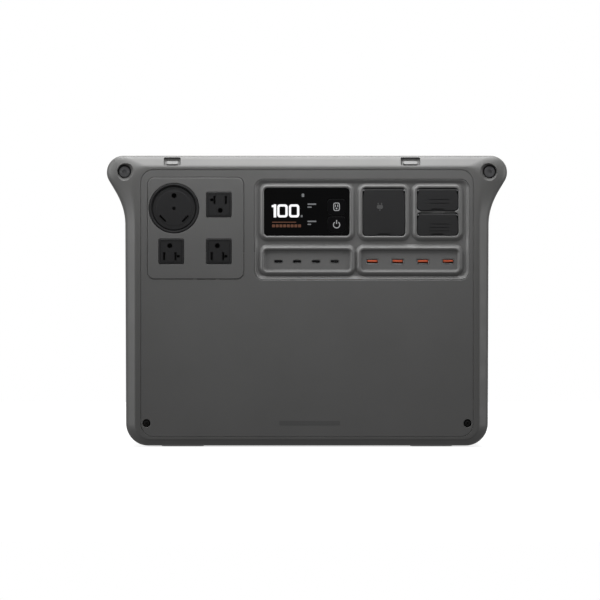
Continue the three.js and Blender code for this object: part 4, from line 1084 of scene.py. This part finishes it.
def display():
    loops = [(rounded(grown(DISPLAY, -GAP), WINDOW_R - GAP, 8), 0.3)]
    loops += [(key_outline(z, 0.4), 0.15) for z in KEYS.values()]
    pane = plate("display_glass_pane", front, loops, GLASS_FACE, GLASS_BACK)
    made(pane, "display_glass", ["display_window"])
    for name, z in KEYS.items():
        cap_piece = plate(name + "_cap", front, [(key_outline(z, 0.0), 0.35)], GLASS_FACE, 107.2)
        stem = plate("stem", front, [(pad(KEY_X, z, 4, 4, 0.6, 3), 0.0)], GLASS_BACK, 105.5)
        cut(cap_piece, [stem], "UNION")
        made(cap_piece, "key", [name], name)

    def bar(x0, x1, z0, z1, r=0.5):
        return [rounded((x0, x1, z0, z1), min(r, (x1 - x0) / 2.1, (z1 - z0) / 2.1), 4)]

    stroke, wide, low, high = 2.5, 11.6, 256.6, 271.2
    digits = [bar(-37.2, -34.3, low, high, 0.5), bar(-39.4, -37.0, 268.0, 270.4, 0.5)]
    for x in (-33.2, -20.2):
        outer = rounded((x, x + wide, low, high), 3.0, 6)
        digits.append([outer, rounded((x + stroke, x + wide - stroke, low + stroke, high - stroke), 1.2, 4)])
    glass_marks("display_digits", digits, WHITE_SIGN)

    marks = [bar(-5.9, -3.1, 279.4, 283.2, 0.8), bar(-7.0, -4.9, 256.8, 259.2, 0.5)]
    marks += [bar(0.6, 10.2, 270.6, 272.2), bar(0.6, 5.2, 267.4, 268.8)]
    marks += [bar(0.6, 10.4, 251.4, 253.0), bar(0.6, 4.6, 248.2, 249.6)]
    glass_marks("display_marks", marks, GREY_SIGN)

    level = [bar(-39.0 + i * 4.15, -39.0 + i * 4.15 + 3.3, 245.6, 248.8, 0.4) for i in range(8)]
    level += [bar(-39.0, -12.0, 250.8, 251.8, 0.3)]
    glass_marks("display_level", level, ORANGE_SIGN)

    z = KEYS["ac_key"]
    outlet = [[pad(KEY_X, z, 3.6, 4.6, 2.2, 6), pad(KEY_X, z, 2.7, 3.7, 1.5, 6)]]
    outlet += [bar(x - 0.45, x + 0.45, z - 0.2, z + 2.4, 0.2) for x in (KEY_X - 1.25, KEY_X + 1.25)]
    outlet += [[circle(KEY_X, z - 1.9, 0.9, 16)]]
    glass_marks("ac_key_symbol", outlet, KEY_SIGN, "ac_key", slot="key")
    z = KEYS["power_key"]
    sweep = arc(KEY_X, z - 0.6, 4.0, 125, 415, 26) + arc(KEY_X, z - 0.6, 3.0, 415, 125, 26)
    power = [[lambda grow=0.0: sweep], bar(KEY_X - 0.55, KEY_X + 0.55, z + 0.4, z + 4.8, 0.3)]
    glass_marks("power_key_symbol", power, KEY_SIGN, "power_key", slot="key")


display()


def usb_rows():
    """Metal shells of both rows on their boards, with a tongue in each."""
    ports, inner, boards = bmesh.new(), bmesh.new(), bmesh.new()
    for x in USB_C_XS:
        loops = [(pad(x, USB_Z, 4.6, 1.65, 1.6, 8), 0.12), (pad(x, USB_Z, 4.2, 1.25, 1.2, 8), 0.12)]
        add_plate(ports, front, loops, 107.9, 97.2)
        add_plate(inner, front, [(pad(x, USB_Z, 3.2, 0.35, 0.3, 3), 0.15)], 107.0, 98.0)
        add_plate(inner, front, [(pad(x, USB_Z, 4.1, 1.2, 1.1, 6), 0.0)], 99.6, 98.2)
    made(finish_mesh("usb_c_shells", ports), "dark_steel", ["usb_c_ports"])
    made(finish_mesh("usb_c_tongues", inner), "socket", ["usb_c_ports"])
    for row, inset, face in ((USB_C, 3, 97.0), (USB_A, 2, 92.0)):
        outline = rounded((row[0] + inset, row[1] - inset, USB_Z - 9, USB_Z + 9), 1.0, 3)
        add_plate(boards, front, [(outline, 0.1)], face, face - 1.6)
    made(finish_mesh("usb_boards", boards), "circuit_board", ["usb_c_ports", "usb_a_ports"])

    shells, tongues, contacts = bmesh.new(), bmesh.new(), bmesh.new()
    for x in USB_A_XS:
        loops = [(pad(x, USB_Z, 6.7, 3, 0.7, 4), 0.15), (pad(x, USB_Z, 6.2, 2.5, 0.4, 4), 0.2)]
        add_plate(shells, front, loops, 107.9, 92.2)
        tongue = rounded((x - 5.4, x + 5.4, USB_Z - 0.2, USB_Z + 1.7), 0.3, 3)
        add_plate(tongues, front, [(tongue, 0.25)], 107.2, 94.0)
        for i in range(4):
            u = x - 3.6 + i * 2.4
            strip_line = rounded((u - 0.5, u + 0.5, USB_Z - 0.32, USB_Z - 0.15), 0.05, 2)
            add_plate(contacts, front, [(strip_line, 0.0)], 106.2, 95)
    base = rounded((USB_A_XS[0] - 2, USB_A_XS[3] + 2, USB_Z - 1.2, USB_Z + 1.2), 0.3, 3)
    add_plate(tongues, front, [(base, 0.0)], 95.9, 93.5)
    made(finish_mesh("usb_a_shells", shells), "bright_steel", ["usb_a_ports"])
    made(finish_mesh("usb_a_tongue_bars", tongues), "orange_tongue", ["usb_a_tongues"])
    made(finish_mesh("usb_a_contacts", contacts), "copper", ["usb_a_tongues"])


usb_rows()


def covered_ports():
    """Charging inlet and both direct-current ports behind their covers."""
    def port(name, rect, half, high, depths, pins):
        front_w, floor, back = depths
        cx, cz = (rect[0] + rect[1]) / 2, (rect[2] + rect[3]) / 2
        outline = rounded(grown(rect, -GAP), WINDOW_R - GAP, 8)
        mouth = pad(cx, cz, half, high, 3.0, 8)
        body = plate(name + "_body", front, [(outline, 0.4), (mouth, 0.8)], front_w, floor)
        block = plate("back", front, [(outline, 0.0)], floor + 0.5, back)
        groove = [(pad(cx, cz, half + by, high + by, r, 8), 0.0) for by, r in ((3, 5.0), (2.2, 4.4))]
        cut(body, [block], "UNION")
        cut(body, [plate("groove", front, groove, front_w + 1, front_w - 0.6)])
        made(body, "socket", [name])
        bm = bmesh.new()
        for pin in pins(cx, cz):
            add_plate(bm, front, [(pin[0], 0.5)], pin[1], floor - 1)
        made(finish_mesh(name + "_pins", bm), "bright_steel", [name])

    def blades(cx, cz):
        for x in (-8, 0, 8):
            z = cz + (2 if x == 0 else -2)
            yield rounded((cx + x - 1, cx + x + 1, z - 4, z + 4), 0.5, 3), 104.0

    def rods(cx, cz):
        for x in (-5, 5):
            yield circle(cx + x, cz, 1.75, 24), 105.0

    port("charge_inlet", CHARGE, 14.5, 10.5, (106.6, 90.0, 82.0), blades)
    port("dc_port_upper", DC_UPPER, 12.0, 6.0, (106.6, 93.0, 86.0), rods)
    port("dc_port_lower", DC_LOWER, 12.0, 6.0, (106.6, 93.0, 86.0), rods)


covered_ports()


# ------------------------------------------------------------------ inside

FAN_R, FAN_SCREW, HUB_R, ROOT_R, BLADE_SPAN = 43.0, 40.5, 17, 16.0, 25.8
BLADE_COUNT, BLADE_STEPS, CHORD_STEPS = 7, 8, 6


def fan_housing(side, place, cu, z, half, inner_w, outer_w):
    """Square housing with a round opening, four screw holes, four arms and a post for the rotor."""
    loops = [(pad(cu, z, half, half, 5.0, 8), 0.6), (circle(cu, z, FAN_R, 96), 0.8)]
    for du in (-FAN_SCREW, FAN_SCREW):
        for dv in (-FAN_SCREW, FAN_SCREW):
            loops.append((circle(cu + du, z + dv, 2.2, 20), 0.2))
    housing = plate(f"fan_housing_{side}", place, loops, outer_w, inner_w)
    parts = []
    for turn in (45, 135):
        arm = slot_outline(cu, z, 87.4, 5, turn, 1.2, 4)
        parts.append(plate("arm", place, [(arm, 0.5)], inner_w + 3, inner_w))
    profile = [(0, inner_w), (HUB_R, inner_w), (HUB_R, inner_w + 2.6), (16.6, inner_w + 3), (4, inner_w + 3)]
    profile += [(4, outer_w - 6.6), (3.6, outer_w - 6), (0, outer_w - 6)]
    parts.append(turned_piece("post", place, cu, z, profile, 48))
    cut(housing, parts, "UNION")
    made(housing, "fan_plastic", [f"fan_frame_{side}"])


def blade_section(bm, place, cu, z, middle, start, t):
    """Closed section of a fan blade, t of the way from its root to its tip."""
    radius = ROOT_R + BLADE_SPAN * t
    pitch = math.radians(50 - 22 * t)
    chord = 18.0 + 18.0 * t
    section = []
    for face in (1, -1):
        for m in range(CHORD_STEPS + 1)[::face]:
            s = m / CHORD_STEPS - 0.5
            camber = 3.2 * (0.25 - s * s)
            thick = face * (0.75 if 0 < m < CHORD_STEPS else 0.15)
            lift = s * chord * math.sin(pitch) * 0.62 + camber + thick
            angle = start + 0.28 * t * t + s * chord * math.cos(pitch) / radius
            u, v = cu + radius * math.cos(angle), z + radius * math.sin(angle)
            section.append(bm.verts.new(place(u, v, middle + lift * 0.85)))
    return section


def fan_rotor(side, place, cu, z, inner_w, outer_w):
    """Hub, bored from behind for its post, with twisted blades."""
    back, face, bored = inner_w + 4.0, outer_w - 1.5, outer_w - 5.4
    profile = [(0, bored), (4.6, bored), (4.6, back), (HUB_R, back), (HUB_R, face - 2)]
    profile += [(16.4, face - 0.7), (14.5, face), (0, face)]
    hub = turned_piece(f"fan_rotor_{side}_blades", place, cu, z, profile, 48)
    blades = bmesh.new()
    for index in range(BLADE_COUNT):
        start = 2 * math.pi * index / BLADE_COUNT
        sections = []
        for k in range(BLADE_STEPS + 1):
            sections.append(blade_section(blades, place, cu, z, (back + face) / 2, start, k / BLADE_STEPS))
        for a, b in zip(sections, sections[1:]):
            strip(blades, a, b)
        cap(blades, [sections[0]])
        cap(blades, [sections[-1]])
    cut(hub, [finish_mesh("blades", blades)], "UNION")
    made(hub, "fan_plastic", [f"fan_rotor_{side}"], f"fan_rotor_{side}")


def fans():
    for side, place, sign in (("left", left, -1), ("right", right, 1)):
        low, high = size_of(f"fan_frame_{side}")
        cu, z = (low[1] + high[1]) / 2 * sign, (low[2] + high[2]) / 2
        inner_w, outer_w = sorted((abs(low[0]), abs(high[0])))
        fan_housing(side, place, cu, z, (high[1] - low[1]) / 2, inner_w, outer_w)
        fan_rotor(side, place, cu, z, inner_w, outer_w)


fans()


def battery_cable():
    """Smooth round cable between both boards."""
    points = [(0, 26, 139), (0, 50, 139.5), (0, 76, 139.5), (0, 88, 146), (0, 88, 154)]
    points += [(0, 84, 160), (0, 76.4, 161)]
    curve = bpy.data.curves.new("cable", "CURVE")
    curve.dimensions = "3D"
    curve.bevel_depth, curve.bevel_resolution, curve.use_fill_caps = 3.1 * MM, 6, True
    spline = curve.splines.new("BEZIER")
    spline.bezier_points.add(len(points) - 1)
    for knot, point in zip(spline.bezier_points, points):
        knot.co = Vector(point) * MM
        knot.handle_left_type = knot.handle_right_type = "AUTO"
    obj = bpy.data.objects.new("cable", curve)
    bpy.context.scene.collection.objects.link(obj)
    mesh = bpy.data.meshes.new_from_object(obj)
    bpy.data.objects.remove(obj)
    tube = bpy.data.objects.new("battery_cable_tube", mesh)
    bpy.context.scene.collection.objects.link(tube)
    smooth(tube)
    made(tube, "cable", ["battery_cable"])


battery_cable()


def carried_nodes():
    """The CAD nodes that stay: their finish and softened edges."""
    slots = {part["node"]: part["material_slot"] for part in frame["record"]["subparts"]}
    edges = {"battery_block_left": 0.8, "battery_block_right": 0.8, "transformer": 1.0}
    for name, obj in frame["nodes"].items():
        obj.data.materials.clear()
        obj.data.materials.append(MATERIALS[slots[name]])
        flat = obj.modifiers.new("flat", "DECIMATE")
        flat.decimate_type = "DISSOLVE"
        flat.angle_limit = math.radians(1)
        soft = obj.modifiers.new("edges", "BEVEL")
        soft.width = edges.get(name, 0.3) * MM
        soft.segments = 2
        soft.limit_method = "ANGLE"
        soft.angle_limit = math.radians(40)


carried_nodes()
